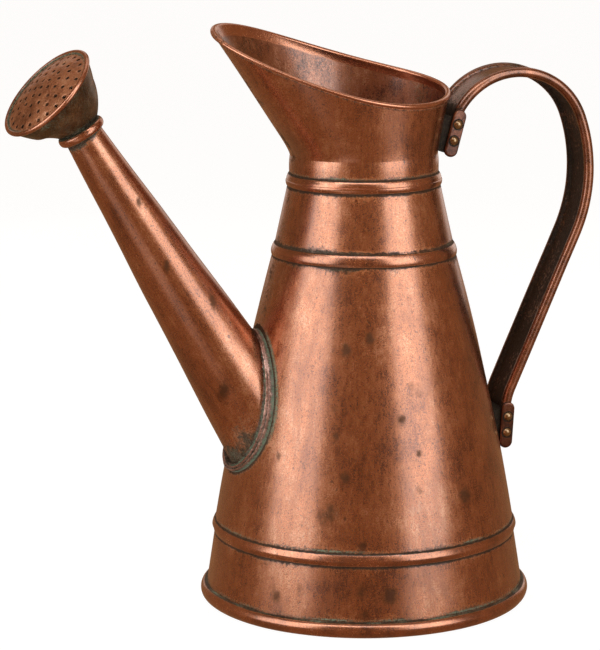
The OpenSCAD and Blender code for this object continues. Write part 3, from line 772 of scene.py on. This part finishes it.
def make_spout():
    around, along = 256, 150
    a, ring = circle(around)

    def wall(inset):
        tip, root = spout_lines(ring, inset)
        t = np.linspace(0, 1, along)[:, None, None] ** 1.15
        return root + (tip - root) * t

    outer, inner = wall(0.0), wall(SHEET)
    grid = np.concatenate([outer, inner[::-1]])
    points = grid.reshape(-1, 3)
    t = np.repeat(np.concatenate([np.linspace(0, 1, along) ** 1.15] * 2), around)
    root = np.tile(outer[0], (2 * along, 1))
    gone = np.linalg.norm(points - root, axis=1)
    belly = np.tile(step(-np.cos(a), -0.5, 0.9), 2 * along)
    tip_gap = (1 - t) * SPOUT_LEN
    ferrule = bell(tip_gap - 9.6, 1.6)
    rot = uneven(points, 9.0, 21.0)
    grime_and_shade = np.maximum(0.9 * bell(gone, 2.2), (0.46 + 0.45 * rot) * belly * bell(gone, 19.0))
    grime_and_shade = np.maximum(grime_and_shade, 0.95 * ferrule)
    grime_and_shade = np.maximum(grime_and_shade, 0.30 * bell(tip_gap - 11.0, 5.0))
    green = np.maximum(0.6 * bell(gone - 1.5, 2.2), (0.22 + 0.6 * rot) * belly
                       * bell(gone, 15.0))
    green = np.maximum(green, 0.55 * bell(tip_gap - 10.6, 1.9))
    spots = [(0.30, -60, 4), (0.52, -95, 3), (0.17, -120, 5), (0.70, -70, 2.5), (0.45, 70, 4),
             (0.25, 120, 5), (0.63, 150, 3)]
    blot = np.zeros(len(points))
    azimuth = np.tile(a, 2 * along)
    for share, angle, size in spots:
        d = np.hypot((t - share) * SPOUT_LEN, spout_r(share * SPOUT_LEN)
                     * np.angle(np.exp(1j * (azimuth - math.radians(angle)))))
        blot = np.maximum(blot, 0.8 * bell(d, size))
    turned_piece("spout_tube", spout_aged, points, around,
                 {"grime_and_shade": grime_and_shade, "green": green, "blot": blot}, name="spout_piece")


def make_saddle():
    around, across = 320, 30
    a, ring = circle(around)
    inner = spout_lines(ring)[1]
    face = (math.cos(SADDLE_TILT), 0, math.sin(SADDLE_TILT))
    up = np.array([-math.sin(SADDLE_TILT), 0, math.cos(SADDLE_TILT)])
    start = place(cols(ring[:, 0] * SADDLE_R, ring[:, 1] * SADDLE_R, INSIDE),
                  (-cone_r(SADDLE_Z), 0, SADDLE_Z), face, SIDE_Y, up)
    outer = meets_can(start, up, 0.0, 130.0)

    # the flange follows the wall: blend azimuth and height between its two borders
    def polar(p):
        return cols(np.arctan2(p[:, 1], -p[:, 0]), p[:, 2])

    w = np.linspace(0, 1, across)
    line = polar(inner) * (1 - w[:, None, None]) + polar(outer) * w[:, None, None]
    rough = 0.22 * np.sin(a * 37 + 1.3) * np.sin(a * 23) + 0.12 * np.sin(a * 61 + 0.4)
    ridges = (0.9 * bell(w - 0.13, 0.10) + 1.0 * bell(w - 0.46, 0.13) + 1.0 * bell(w - 0.80, 0.12))
    lift = 0.9 + ridges[:, None] * (SADDLE_H - 0.95) * (1 + rough[None, :] * 0.5)
    lift *= step(1 - w, 0, 0.10)[:, None]
    lift = np.minimum(lift, SADDLE_H)

    def on_wall(height):
        z = line[..., 1]
        slope = cone_r(z + 0.5) - cone_r(z - 0.5)
        n = 1 / np.hypot(1, slope)
        r = cone_r(z) + height * n
        angle = line[..., 0]
        return cols(-r * np.cos(angle), r * np.sin(angle), z - slope * height * n)

    grid = np.concatenate([on_wall(lift), on_wall(0 * lift - 0.05)[::-1]])
    points = grid.reshape(-1, 3)
    wave = np.concatenate([np.repeat(w, around), np.repeat(w[::-1], around)])
    tall = bell(wave - 0.46, 0.11) + bell(wave - 0.80, 0.10)
    lower = np.tile(step(-np.cos(a), -0.7, 0.9), 2 * across)
    coarse, fine = uneven(points, 7.0, 12.0), uneven(points, 2.6, 27.0)
    # the ridges are lighter and the hollows between them darker: dirt and wear, and partly a
    # painted highlight on the ridges and painted shade between them
    turned_piece("spout_saddle", crusted, points, around, {
        "grime_and_shade": 0.42 - 0.50 * tall + 0.28 * coarse + 0.1 * lower,
        "green": 0.22 + 0.6 * bell(wave - 0.24, 0.07) + 0.7 * bell(wave - 0.97, 0.07)
        + 0.40 * fine + 0.35 * bell(wave - 0.63, 0.05) - 0.2 * tall,
        "wear_and_highlight": 0.15 * tall * coarse}, sharp=60, name="saddle_piece")


def make_rose():
    # ferrule ring
    half = 2.5
    neck_r = spout_r(RING_S) + SHEET
    t = np.linspace(-1, 1, 25)
    t = np.sign(t) * (1 - (1 - np.abs(t)) ** 1.6)
    front = cols(neck_r - 0.1 + 2.0 * (1 - np.abs(t) ** 2.2) ** 0.5, RING_S + half * t)
    line = np.concatenate([front, front[[-1, 0]] - [[0.4, 0], [0.4, 0]]])
    points = at_spout(revolved(line, 192))
    v = np.repeat((line[:, 1] - RING_S) / half, 192)
    crease = step(np.abs(v), 0.6, 0.95)
    turned_piece("rose_ring", worn, points, 192,
                 {"grime_and_shade": crease, "green": 0.7 * crease, "wear_and_highlight": 0.6 * bell(v, 0.5)})

    # neck sleeve, then the bell, which opens just past the ring and leans over
    low_s = SPOUT_LEN - 9.6
    base_s = RING_S + half + 0.3
    base_z, top_z = base_s - ELBOW_S, ROSE_H - 0.6
    base_r, bent_z = spout_r(base_s) + SHEET + 0.5, 8.0

    def bell_row(z, inset):
        share = (z - base_z) / (top_z - base_z)
        r = base_r + (ROSE_R - base_r) * share + 4 * BELL_BULGE * share * (1 - share) - inset
        lean = ROSE_BEND * min(1.0, (z - base_z) / (bent_z - base_z))
        x = r * np.cos(a) * math.cos(lean) - z * math.sin(lean)
        w = r * np.cos(a) * math.sin(lean) + z * math.cos(lean)
        y = r * np.sin(a)
        ct, st = math.cos(ROSE_TURN), math.sin(ROSE_TURN)
        return at_spout(cols(x * ct - y * st, x * st + y * ct, w + ELBOW_S))

    def sleeve_row(s, r):
        turned = a + ROSE_TURN
        return at_spout(cols(r * np.cos(turned), r * np.sin(turned), s + 0 * a))

    a = np.arange(256) * 2 * math.pi / 256
    sleeve = np.linspace(low_s, base_s, 8)
    heights = np.linspace(base_z + 0.25, top_z, 34)
    rows = [sleeve_row(s, spout_r(s) + SHEET) for s in sleeve]
    rows.append(bell_row(base_z, 0.25))
    rows += [bell_row(z, 0.0) for z in heights]
    rows += [bell_row(z, BELL_T) for z in np.linspace(top_z, base_z + BELL_T, 24)]
    rows += [sleeve_row(s, spout_r(s)) for s in sleeve[::-1]]
    grid = np.array(rows)
    d = np.array([s - base_s for s in sleeve] + [0.0] + [z - base_z for z in heights]
                 + [8.0] * 24 + [-3.0] * len(sleeve))
    far = top_z - base_z
    crease = np.maximum(bell(d - 0.2, 2.3), 0.85 * bell(d - far, 1.6))
    points = grid.reshape(-1, 3)
    mottle, fine = uneven(points, 9.0, 3.0), uneven(points, 3.5, 8.0)
    near_rim = step(np.repeat(d, 256), far - 9.0, far - 2.0)
    crease = np.repeat(crease, 256)
    turned_piece("rose_bell", bell_dark, points, 256, {
        "grime_and_shade": np.maximum(crease, 0.12 + 0.30 * mottle),
        "green": np.maximum(0.75 * crease * fine,
                            0.27 + 0.50 * mottle * fine + 0.12 * near_rim)})

    # rolled rim
    b = np.linspace(0, 2 * math.pi, 29)[:-1]
    line = cols(ROSE_R + ROSE_ROLL * np.cos(b), ROSE_H + ROSE_ROLL * np.sin(b))
    points = at_rose(revolved(line, 256))
    inward = np.repeat(step(-np.cos(b), 0.2, 0.9), 256)
    turned_piece("rose_rim", worn, points, 256, {
        "grime_and_shade": 0.7 * inward, "green": 0.8 * inward,
        "wear_and_highlight": np.repeat(0.45 * step(np.cos(b - 0.6), -0.3, 0.8), 256)})


def make_rose_face():
    edge_r = ROSE_R - ROSE_ROLL * 0.8
    dome_r = (edge_r ** 2 + ROSE_DOME ** 2) / (2 * ROSE_DOME)
    flat, loops, holes = [], [], []

    def add_loop(cx, cy, r, n):
        first = len(flat)
        for k in range(n):
            b = 2 * math.pi * k / n
            flat.append((cx + r * math.cos(b), cy + r * math.sin(b)))
        loops.append(list(range(first, first + n)))

    add_loop(0, 0, edge_r, 160)
    for k, count in enumerate(HOLE_RINGS):
        for i in range(count):
            b = 2 * math.pi * (i + k / 3) / count
            holes.append((k * HOLE_STEP * math.cos(b), k * HOLE_STEP * math.sin(b)))
    for cx, cy in holes:
        add_loop(cx, cy, HOLE_R, 20)
        add_loop(cx, cy, HOLE_R + 0.3, 20)
    pts = [Vector(p) for p in flat]
    centres = np.array(holes)
    for gx in np.arange(-26, 26.1, 0.9):
        for gy in np.arange(-26, 26.1, 0.9):
            clear = np.hypot(*(centres - (gx, gy)).T).min() > HOLE_R + 0.8
            if clear and math.hypot(gx, gy) < edge_r - 0.6:
                pts.append(Vector((gx, gy)))
    edges = [(l[i], l[(i + 1) % len(l)]) for l in loops for i in range(len(l))]
    co, tris = triangles(pts, edges, 0)
    centre = co[tris].mean(1)
    gap = np.hypot(centre[:, None, 0] - centres[:, 0], centre[:, None, 1] - centres[:, 1]).min(1)
    keep = (gap > HOLE_R * 0.97) & (np.hypot(*centre.T) < edge_r)
    co, (tris,) = only_used(co, tris[keep])
    d = np.hypot(*co.T)
    z = ROSE_H + ROSE_DOME - dome_r + np.sqrt(dome_r ** 2 - d ** 2)
    near = np.hypot(co[:, None, 0] - centres[:, 0], co[:, None, 1] - centres[:, 1]).min(1)
    z = z - 0.22 * bell(near - HOLE_R, 0.45)
    top = np.concatenate([co, z[:, None]], 1)
    low = top - [0, 0, 0.9]
    n = len(top)
    sides = {(t[i], t[(i + 1) % 3]): 1 for t in tris.tolist() for i in range(3)}
    border = [(i, j) for i, j in sides if (j, i) not in sides]
    walls = np.array([(j, i, i + n, j + n) for i, j in border])
    faces = [tris, tris[:, ::-1] + n, walls]
    both = np.concatenate([near, near])
    r = np.concatenate([d, d])
    rim_dirt = bell(r - edge_r, 1.6)
    piece("rose_face_piece", "rose_face", face_aged,
          at_rose(np.concatenate([top, low])), faces,
          {"grime_and_shade": np.maximum(0.7 * rim_dirt, np.maximum(0.62 * bell(both - HOLE_R, 0.25),
                                                         0.36 * bell(r, 11.0))),
           "green": np.maximum(0.8 * rim_dirt, 0.30)}, sharp=50)


# ------------ handle
def heading(angle):
    return np.array([math.cos(math.radians(angle)), math.sin(math.radians(angle))])


def strap_path(gap=1.4):
    """Points (x, z), headings in degrees and the path's distance, from the upper end down."""
    p = np.array(STRAP_TOP)
    points, angles = [p], [float(HEADINGS[0])]

    def arc(radius_, end, turn):
        nonlocal p
        start = angles[-1]
        n = max(6, math.ceil(math.radians(abs(end - start)) * radius_ / gap))
        mid = p + turn * radius_ * heading(start + 90)
        for k in range(1, n + 1):
            h = start + (end - start) * k / n
            points.append(mid - turn * radius_ * heading(h + 90))
            angles.append(h)
        p = points[-1]

    for bend, end in zip(RADII[:3], HEADINGS[1:]):
        arc(bend, end, -1)
    n = math.ceil(STRAP_RUN / gap)
    for k in range(1, n + 1):
        points.append(p + heading(angles[-1]) * STRAP_RUN * k / n)
        angles.append(angles[-1])
    p = points[-1]
    arc(RADII[3], HEADINGS[4], 1)
    points = np.array(points)
    run = np.concatenate([[0], np.cumsum(np.linalg.norm(np.diff(points, axis=0), axis=1))])
    return points, np.array(angles), run


def strap_section():
    """Closed outline (y across, n outwards) of the web with its two rolled edges."""
    edge_y = STRAP_W / 2 - STRAP_ROLL
    meet = math.asin(STRAP_T / 2 / STRAP_ROLL)
    a = np.linspace(math.pi - meet, -math.pi + meet, 33)
    right = cols(edge_y + STRAP_ROLL * np.cos(a), STRAP_ROLL * np.sin(a))
    web = np.linspace(right[-1][0], -right[-1][0], 18)[1:-1]
    crown = 0.35 * (1 - (web / edge_y) ** 2)
    low = cols(web, -STRAP_T / 2 + crown)
    left = -right
    high = cols(-web, STRAP_T / 2 + crown)
    return np.concatenate([right, low, left, high])


def make_strap():
    path, angles, run = strap_path()
    section = strap_section()
    m = len(section)
    rows = []
    for (x, z), angle in zip(path, angles):
        out = heading(angle + 90)
        rows.append(cols(x + section[:, 1] * out[0], section[:, 0],
                              z + section[:, 1] * out[1]))
    n = len(rows)
    grid = np.array(rows).reshape(-1, 3)
    # rows of shrinking sections close each end
    caps = []
    for k in (0, n - 1):
        row = rows[k]
        centre = cols(np.full(m, row[:, 0].mean()), row[:, 1], np.full(m, row[:, 2].mean()))
        caps.append(row * 0.02 + centre * 0.98)
    points = np.concatenate([caps[0], grid, caps[1]])
    along = np.concatenate([[0], run, [run[-1]]])
    faces = quads(n + 2, m)
    y = np.abs(np.tile(section[:, 0], n + 2))
    up = np.tile(section[:, 1], n + 2)
    d = np.repeat(along, m)
    total = run[-1]
    ends = np.maximum(bell(d, 10.0), bell(total - d, 6.0))
    edge = step(y, 11.0, 13.5)
    crease = bell(y - (STRAP_W / 2 - 2 * STRAP_ROLL - 0.2), 1.3)
    outer = step(up, 0.1, 0.7)
    blotchy = 0.5 + 0.5 * np.sin(d / 17.0) * np.sin(d / 7.3 + 1.0)
    points_blur = uneven(points, 12.0, 44.0)
    # painted shade, on top of grime: the strap's ends next to the lugs and the web's face towards
    # the can are darkened
    grime_and_shade = np.maximum(0.55 * crease, 0.85 * ends)
    grime_and_shade = np.maximum(grime_and_shade, (1 - edge) * (0.16 + 0.30 * points_blur
                                            + 0.12 * blotchy * outer + 0.42 * (1 - outer)))
    green = np.maximum((1 - edge) * outer * (0.22 + 0.30 * points_blur), 0.28 * crease)
    # the rolled edges are brighter: wear, and partly a painted highlight
    piece("handle_strap_piece", "handle_strap", strap_mat, points, faces,
          {"grime_and_shade": grime_and_shade * (1 - 0.8 * edge * (1 - ends)), "green": green * (1 - 0.5 * edge),
           "wear_and_highlight": edge * (0.5 - 0.3 * ends)}, sharp=60)
    return path


def end_frame(point, tilt):
    """Frame at an end of the strap: local Z runs back along the strap, X away from the can."""
    c, s = math.cos(math.radians(tilt)), math.sin(math.radians(tilt))
    origin = (point[0], 0, point[1])
    return lambda p: place(p, origin, (c, 0, -s), SIDE_Y, (s, 0, c))


def pill(r, n=24):
    """Outline of a cheek plate of half width r, as (x, z) points."""
    top, low = CHEEK_LAP - CHEEK_W / 2, CHEEK_LAP - CHEEK_L + CHEEK_W / 2
    b = np.linspace(0, math.pi, n + 1)
    upper = cols(r * np.cos(b), top + r * np.sin(b))
    return finer(np.concatenate([upper, -upper + [0, top + low]]), 0.7)


def on_spine(z):
    """The height of the nearest point on a cheek's middle line."""
    return np.clip(z, CHEEK_LAP - CHEEK_L + CHEEK_W / 2, CHEEK_LAP - CHEEK_W / 2)


def make_cheek(name, at, side):
    r = CHEEK_W / 2
    inner_y, outer_y = STRAP_W / 2, STRAP_W / 2 + CHEEK_T
    outline = pill(r)
    m = len(outline)
    spine = cols(0 * outline[:, 1], on_spine(outline[:, 1]))

    def ring(inset, y):
        q = spine + (outline - spine) * (r - inset) / r
        return cols(q[:, 0], np.full(m, y), q[:, 1])

    rows = np.array([ring(0, inner_y), ring(0, inner_y + 0.7), ring(0, outer_y - 0.8),
                     ring(0.10, outer_y - 0.42), ring(0.32, outer_y - 0.14), ring(0.7, outer_y)])
    side_faces = quads(len(rows), m)

    # outer face: a fine even mesh, so that the dirt round the rivets stays round
    edge = rows[-1][:, [0, 2]]
    pts = [Vector(p) for p in edge]
    for z in RIVET_AT:
        for radius_ in (RIVET_HEAD_R - 0.3, RIVET_HEAD_R + 0.1, RIVET_HEAD_R + 0.5):
            pts += [Vector((radius_ * math.cos(k * math.pi / 18),
                            z + radius_ * math.sin(k * math.pi / 18))) for k in range(36)]
    for x in np.arange(-3.0, 3.01, 0.6):
        for z in np.arange(CHEEK_LAP - CHEEK_L + 0.9, CHEEK_LAP - 0.8, 0.6):
            if np.hypot(x, z - on_spine(z)) < r - 1.0:
                pts.append(Vector((x, z)))
    ring_edges = [(k, (k + 1) % m) for k in range(m)]
    co, tris = triangles(pts, ring_edges, 1)
    first = len(rows) * m
    cap = cols(co[:, 0], np.full(len(co), outer_y), co[:, 1])
    back = [[0.0, inner_y, outline[:, 1].mean()]]
    points = np.concatenate([rows.reshape(-1, 3), cap, back])
    edge_of = (len(rows) - 1) * m
    # the cap's own copies of the edge points give way to the last ring's points
    where = np.arange(len(co)) + first
    near = np.hypot(co[:, None, 0] - edge[None, :, 0], co[:, None, 1] - edge[None, :, 1])
    match = near.min(1) < 1e-4
    where[match] = near[match].argmin(1) + edge_of
    cap_faces = where[tris]
    lid = np.array([(k, (k + 1) % m, len(points) - 1) for k in range(m)])
    a, b, c = points[cap_faces[0]]
    if np.cross(b - a, c - a)[1] < 0:
        cap_faces = cap_faces[:, ::-1]
    # leave out the cap's points that gave way
    points, groups = only_used(points, side_faces, cap_faces, lid)
    points = points * [1, side, 1]
    faces = consistent(groups)
    d = np.minimum(*(np.hypot(points[:, 0], points[:, 2] - z) for z in RIVET_AT))
    outer = np.abs(points[:, 1]) > outer_y - 0.9
    to_edge = r - np.hypot(points[:, 0], points[:, 2] - on_spine(points[:, 2]))
    moved = at(points)
    masks = {"grime_and_shade": np.where(outer, np.maximum(bell(d - RIVET_HEAD_R - 0.1, 0.6),
                                                 0.45 * uneven(moved, 4.0, 2.0)), 0.85),
             "wear_and_highlight": np.where(outer, 0.42 * bell(to_edge - 0.5, 0.5), 0.1),
             "green": 0.25 * bell(d - RIVET_HEAD_R, 0.8)}
    piece(name + "_piece", name, plate, moved, faces, masks, sharp=50)


def consistent(groups):
    """Groups of faces turned so that neighbours share each edge in opposite directions."""
    faces = [tuple(f) for g in groups for f in g.tolist()]
    owner = {}
    for k, f in enumerate(faces):
        for i, a in enumerate(f):
            owner.setdefault(frozenset((a, f[(i + 1) % len(f)])), []).append(k)
    seen, todo = {0}, [0]
    while todo:
        k = todo.pop()
        f = faces[k]
        for i, a in enumerate(f):
            b = f[(i + 1) % len(f)]
            for n in owner[frozenset((a, b))]:
                if n not in seen:
                    g = faces[n]
                    same = any(g[j] == a and g[(j + 1) % len(g)] == b for j in range(len(g)))
                    faces[n] = g[::-1] if same else g
                    seen.add(n)
                    todo.append(n)
    return [np.array([f for f in faces if len(f) == n]) for n in (3, 4)]


def make_rivet(name, at, z):
    head_y = STRAP_W / 2 + CHEEK_T
    cap_r = (RIVET_HEAD_R ** 2 + RIVET_HEAD_H ** 2) / (2 * RIVET_HEAD_H)
    half = math.asin(RIVET_HEAD_R / cap_r)
    a = np.linspace(0.01, half, 14)
    dome = cols(cap_r * np.sin(a), head_y + RIVET_HEAD_H - cap_r + cap_r * np.cos(a))
    line = np.concatenate([dome, [[RIVET_R, head_y]], [[RIVET_R, -head_y]],
                           dome[::-1] * [1, -1], [[0.01, 0.0]]])
    points = revolved(line, 48)
    points = cols(points[:, 0], points[:, 2], points[:, 1]) + [0, 0, z]
    r = np.repeat(line[:, 0], 48)
    turned_piece(name, brass, at(points), 48, {
        "grime_and_shade": 0.85 * step(r, RIVET_HEAD_R - 0.55, RIVET_HEAD_R),
        "green": 0.2 * step(r, RIVET_HEAD_R - 0.8, RIVET_HEAD_R)}, sharp=50)


def make_lug(name, at, wall):
    """A rounded block between the cheeks whose inner side lies on the can."""
    rows_y, n = 27, 44
    b = np.linspace(0, 2 * math.pi, n + 1)[:-1]
    cx, cz = (LUG_OUT - LUG_IN) / 2, -LUG_L / 2
    hx, hz = (LUG_OUT + LUG_IN) / 2, LUG_L / 2
    round_x = np.sign(np.cos(b)) * np.abs(np.cos(b)) ** 0.35
    round_z = np.sign(np.sin(b)) * np.abs(np.sin(b)) ** 0.35
    y = np.linspace(-STRAP_W / 2, STRAP_W / 2, rows_y)
    grid = []
    for yy in y:
        grid.append(cols(cx + hx * round_x, np.full(n, yy), cz + hz * round_z))
    ends = []
    for g in (grid[0], grid[-1]):
        centre = np.array([cx, g[0, 1], cz])
        ends.append(centre + (g - centre) * [0.02, 1, 0.02])
    local = np.concatenate([ends[0]] + grid + [ends[1]])
    points = at(local)
    for i, p in enumerate(points):
        hit = wall.ray_cast(Vector((p[0] + 80.0, p[1], p[2])), Vector((-1, 0, 0)))
        if hit[0] is not None and hit[0][0] > p[0]:
            points[i, 0] = hit[0][0]
    # painted shade: the block sits in the shaded recess between the cheeks, so its dark copper and
    # heavy grime are partly painted shade, partly grime
    piece(name + "_piece", name, dark, points, quads(rows_y + 2, n),
          {"grime_and_shade": 0.85 + 0.3 * uneven(points, 5.0, 9.0),
           "green": 0.05 + 0.40 * uneven(points, 4.0, 14.0)}, sharp=50)


def surface_tree(grid):
    """A ray-castable tree of a wrapped grid of points."""
    rows, cols = grid.shape[:2]
    return BVHTree.FromPolygons(grid.reshape(-1, 3).tolist(), quads(rows, cols).tolist())


def make_handle(hood_outer):
    path = make_strap()
    upper, lower = end_frame(path[0], 15), end_frame(path[-1], 4)
    z = np.linspace(FOOT_Z, SHOULDER_Z, 120)
    cone = revolved(cols(cone_r(z), z), 360).reshape(120, 360, 3)
    make_lug("upper_lug", upper, surface_tree(hood_outer))
    make_lug("lower_lug", lower, surface_tree(cone))
    for end, at in (("upper", upper), ("lower", lower)):
        make_cheek(end + "_cheek_near", at, -1)
        make_cheek(end + "_cheek_far", at, 1)
        make_rivet(end + "_rivet_top", at, RIVET_AT[0])
        make_rivet(end + "_rivet_bottom", at, RIVET_AT[1])


make_foot_ring()
make_base_disc()
make_walls()
make_body()
make_beads()
hood_outer_grid = make_hood()
make_spout()
make_saddle()
make_rose()
make_rose_face()
make_handle(hood_outer_grid)


# ------------ camera, floor and light
CAMERA_AZIMUTH = math.radians(-18)
CAMERA_DISTANCE = 1.4742
CAMERA_HEIGHT = 0.4401
CAMERA_PITCH = 0.194336
CAMERA_YAW = 0.0234928
CAMERA_ROLL = -0.0051685
FOCAL_PX, FRAME_PX = 2766.9, 650


def turned(a, b, angle):
    """Two axes turned in their own plane."""
    s, c = math.sin(angle), math.cos(angle)
    return a * c - b * s, b * c + a * s


def make_camera():
    s, c = math.sin(CAMERA_AZIMUTH), math.cos(CAMERA_AZIMUTH)
    data = bpy.data.cameras.new("photo_camera")
    data.sensor_width = 36
    data.lens = 36 * FOCAL_PX / FRAME_PX
    data.clip_start, data.clip_end = 0.05, 50
    cam = bpy.data.objects.new("photo_camera", data)
    bpy.context.scene.collection.objects.link(cam)
    up = Vector((0, 0, 1))
    ahead, right = Vector((-s, c, 0)), Vector((c, s, 0))
    ahead, right = turned(ahead, right, CAMERA_YAW)
    ahead, up = turned(ahead, up, CAMERA_PITCH)
    right, up = turned(right, up, -CAMERA_ROLL)
    spot = (CAMERA_DISTANCE * s, -CAMERA_DISTANCE * c, CAMERA_HEIGHT)
    cam.matrix_world = Matrix([(right[i], up[i], -ahead[i], spot[i]) for i in range(3)]
                              + [(0, 0, 0, 1)])
    bpy.context.scene.camera = cam


def around(angle, distance, height):
    """A point at an angle from the camera's side of the can, to the right for a positive one."""
    a = CAMERA_AZIMUTH + math.radians(angle)
    return Vector((distance * math.sin(a), -distance * math.cos(a), height))


def soft_light(name, angle, distance, height, wide, tall, power, tint=(1, 1, 1)):
    data = bpy.data.lights.new(name, "AREA")
    data.shape = "RECTANGLE"
    data.size, data.size_y = wide, tall
    data.energy, data.color = power, tint
    obj = bpy.data.objects.new(name, data)
    obj.location = around(angle, distance, height)
    target = Vector((0, 0, 0.15))
    obj.rotation_mode = "QUATERNION"
    obj.rotation_quaternion = (target - obj.location).to_track_quat("-Z", "Y")
    obj.visible_camera = False
    bpy.context.scene.collection.objects.link(obj)
    return obj


def floor_pool(name, angle, distance, size, power):
    """Light that comes back up from the floor where a lamp falls on it."""
    pool = soft_light(name, angle, distance, 0.002, size, size, power)
    pool.rotation_quaternion = (0, 1, 0, 0)


def make_light():
    cool = (0.95, 1.0, 1.04)
    # angle, distance, height, width, height of the lamp, watts
    soft_light("left_light", -57, 1.0, 0.50, 0.80, 1.0, 5.2, cool)
    soft_light("right_light", 48, 1.0, 0.50, 0.66, 1.0, 4.6, cool)
    soft_light("front_top_light", -8, 0.75, 1.30, 1.6, 0.36, 5.6, cool)
    soft_light("rear_left_light", -160, 1.2, 0.55, 0.5, 1.0, 0.6)
    soft_light("rear_right_light", 155, 1.2, 0.55, 0.5, 1.0, 0.9)
    soft_light("rear_top_light", 180, 0.6, 1.7, 1.4, 1.0, 2.6)
    floor_pool("left_pool", -29, 0.56, 0.34, 0.15)
    floor_pool("right_pool", 52, 0.80, 0.34, 0.16)
    world = bpy.data.worlds.new("studio")
    world.use_nodes = True
    tree = world.node_tree
    tree.nodes.clear()
    seen = tree.nodes.new("ShaderNodeBackground")
    seen.inputs["Color"].default_value = rgb(1, 1, 1)
    lit = tree.nodes.new("ShaderNodeBackground")
    lit.inputs["Color"].default_value = rgb(0.27, 0.135, 0.062)
    path = tree.nodes.new("ShaderNodeLightPath")
    pick = tree.nodes.new("ShaderNodeMixShader")
    output = tree.nodes.new("ShaderNodeOutputWorld")
    tree.links.new(path.outputs["Is Camera Ray"], pick.inputs[0])
    tree.links.new(lit.outputs[0], pick.inputs[1])
    tree.links.new(seen.outputs[0], pick.inputs[2])
    tree.links.new(pick.outputs[0], output.inputs["Surface"])
    bpy.context.scene.world = world
    bpy.context.scene.view_settings.view_transform = "Standard"


def make_floor():
    half = 6.0
    n = 25
    line = np.linspace(-half, half, n)
    x, y = np.meshgrid(line, line, indexing="ij")
    points = cols(x, y, 0 * x).reshape(-1, 3)
    mesh = bpy.data.meshes.new("floor")
    mesh.from_pydata(points.tolist(), [], quads(n, n, wrap_v=False)[:, ::-1].tolist())
    mesh.materials.append(plain("floor_paper", rgb(0.10, 0.10, 0.10), 0.9, 0.95))
    floor = bpy.data.objects.new("floor", mesh)
    floor.visible_glossy = False
    bpy.context.scene.collection.objects.link(floor)


make_camera()
make_light()
make_floor()
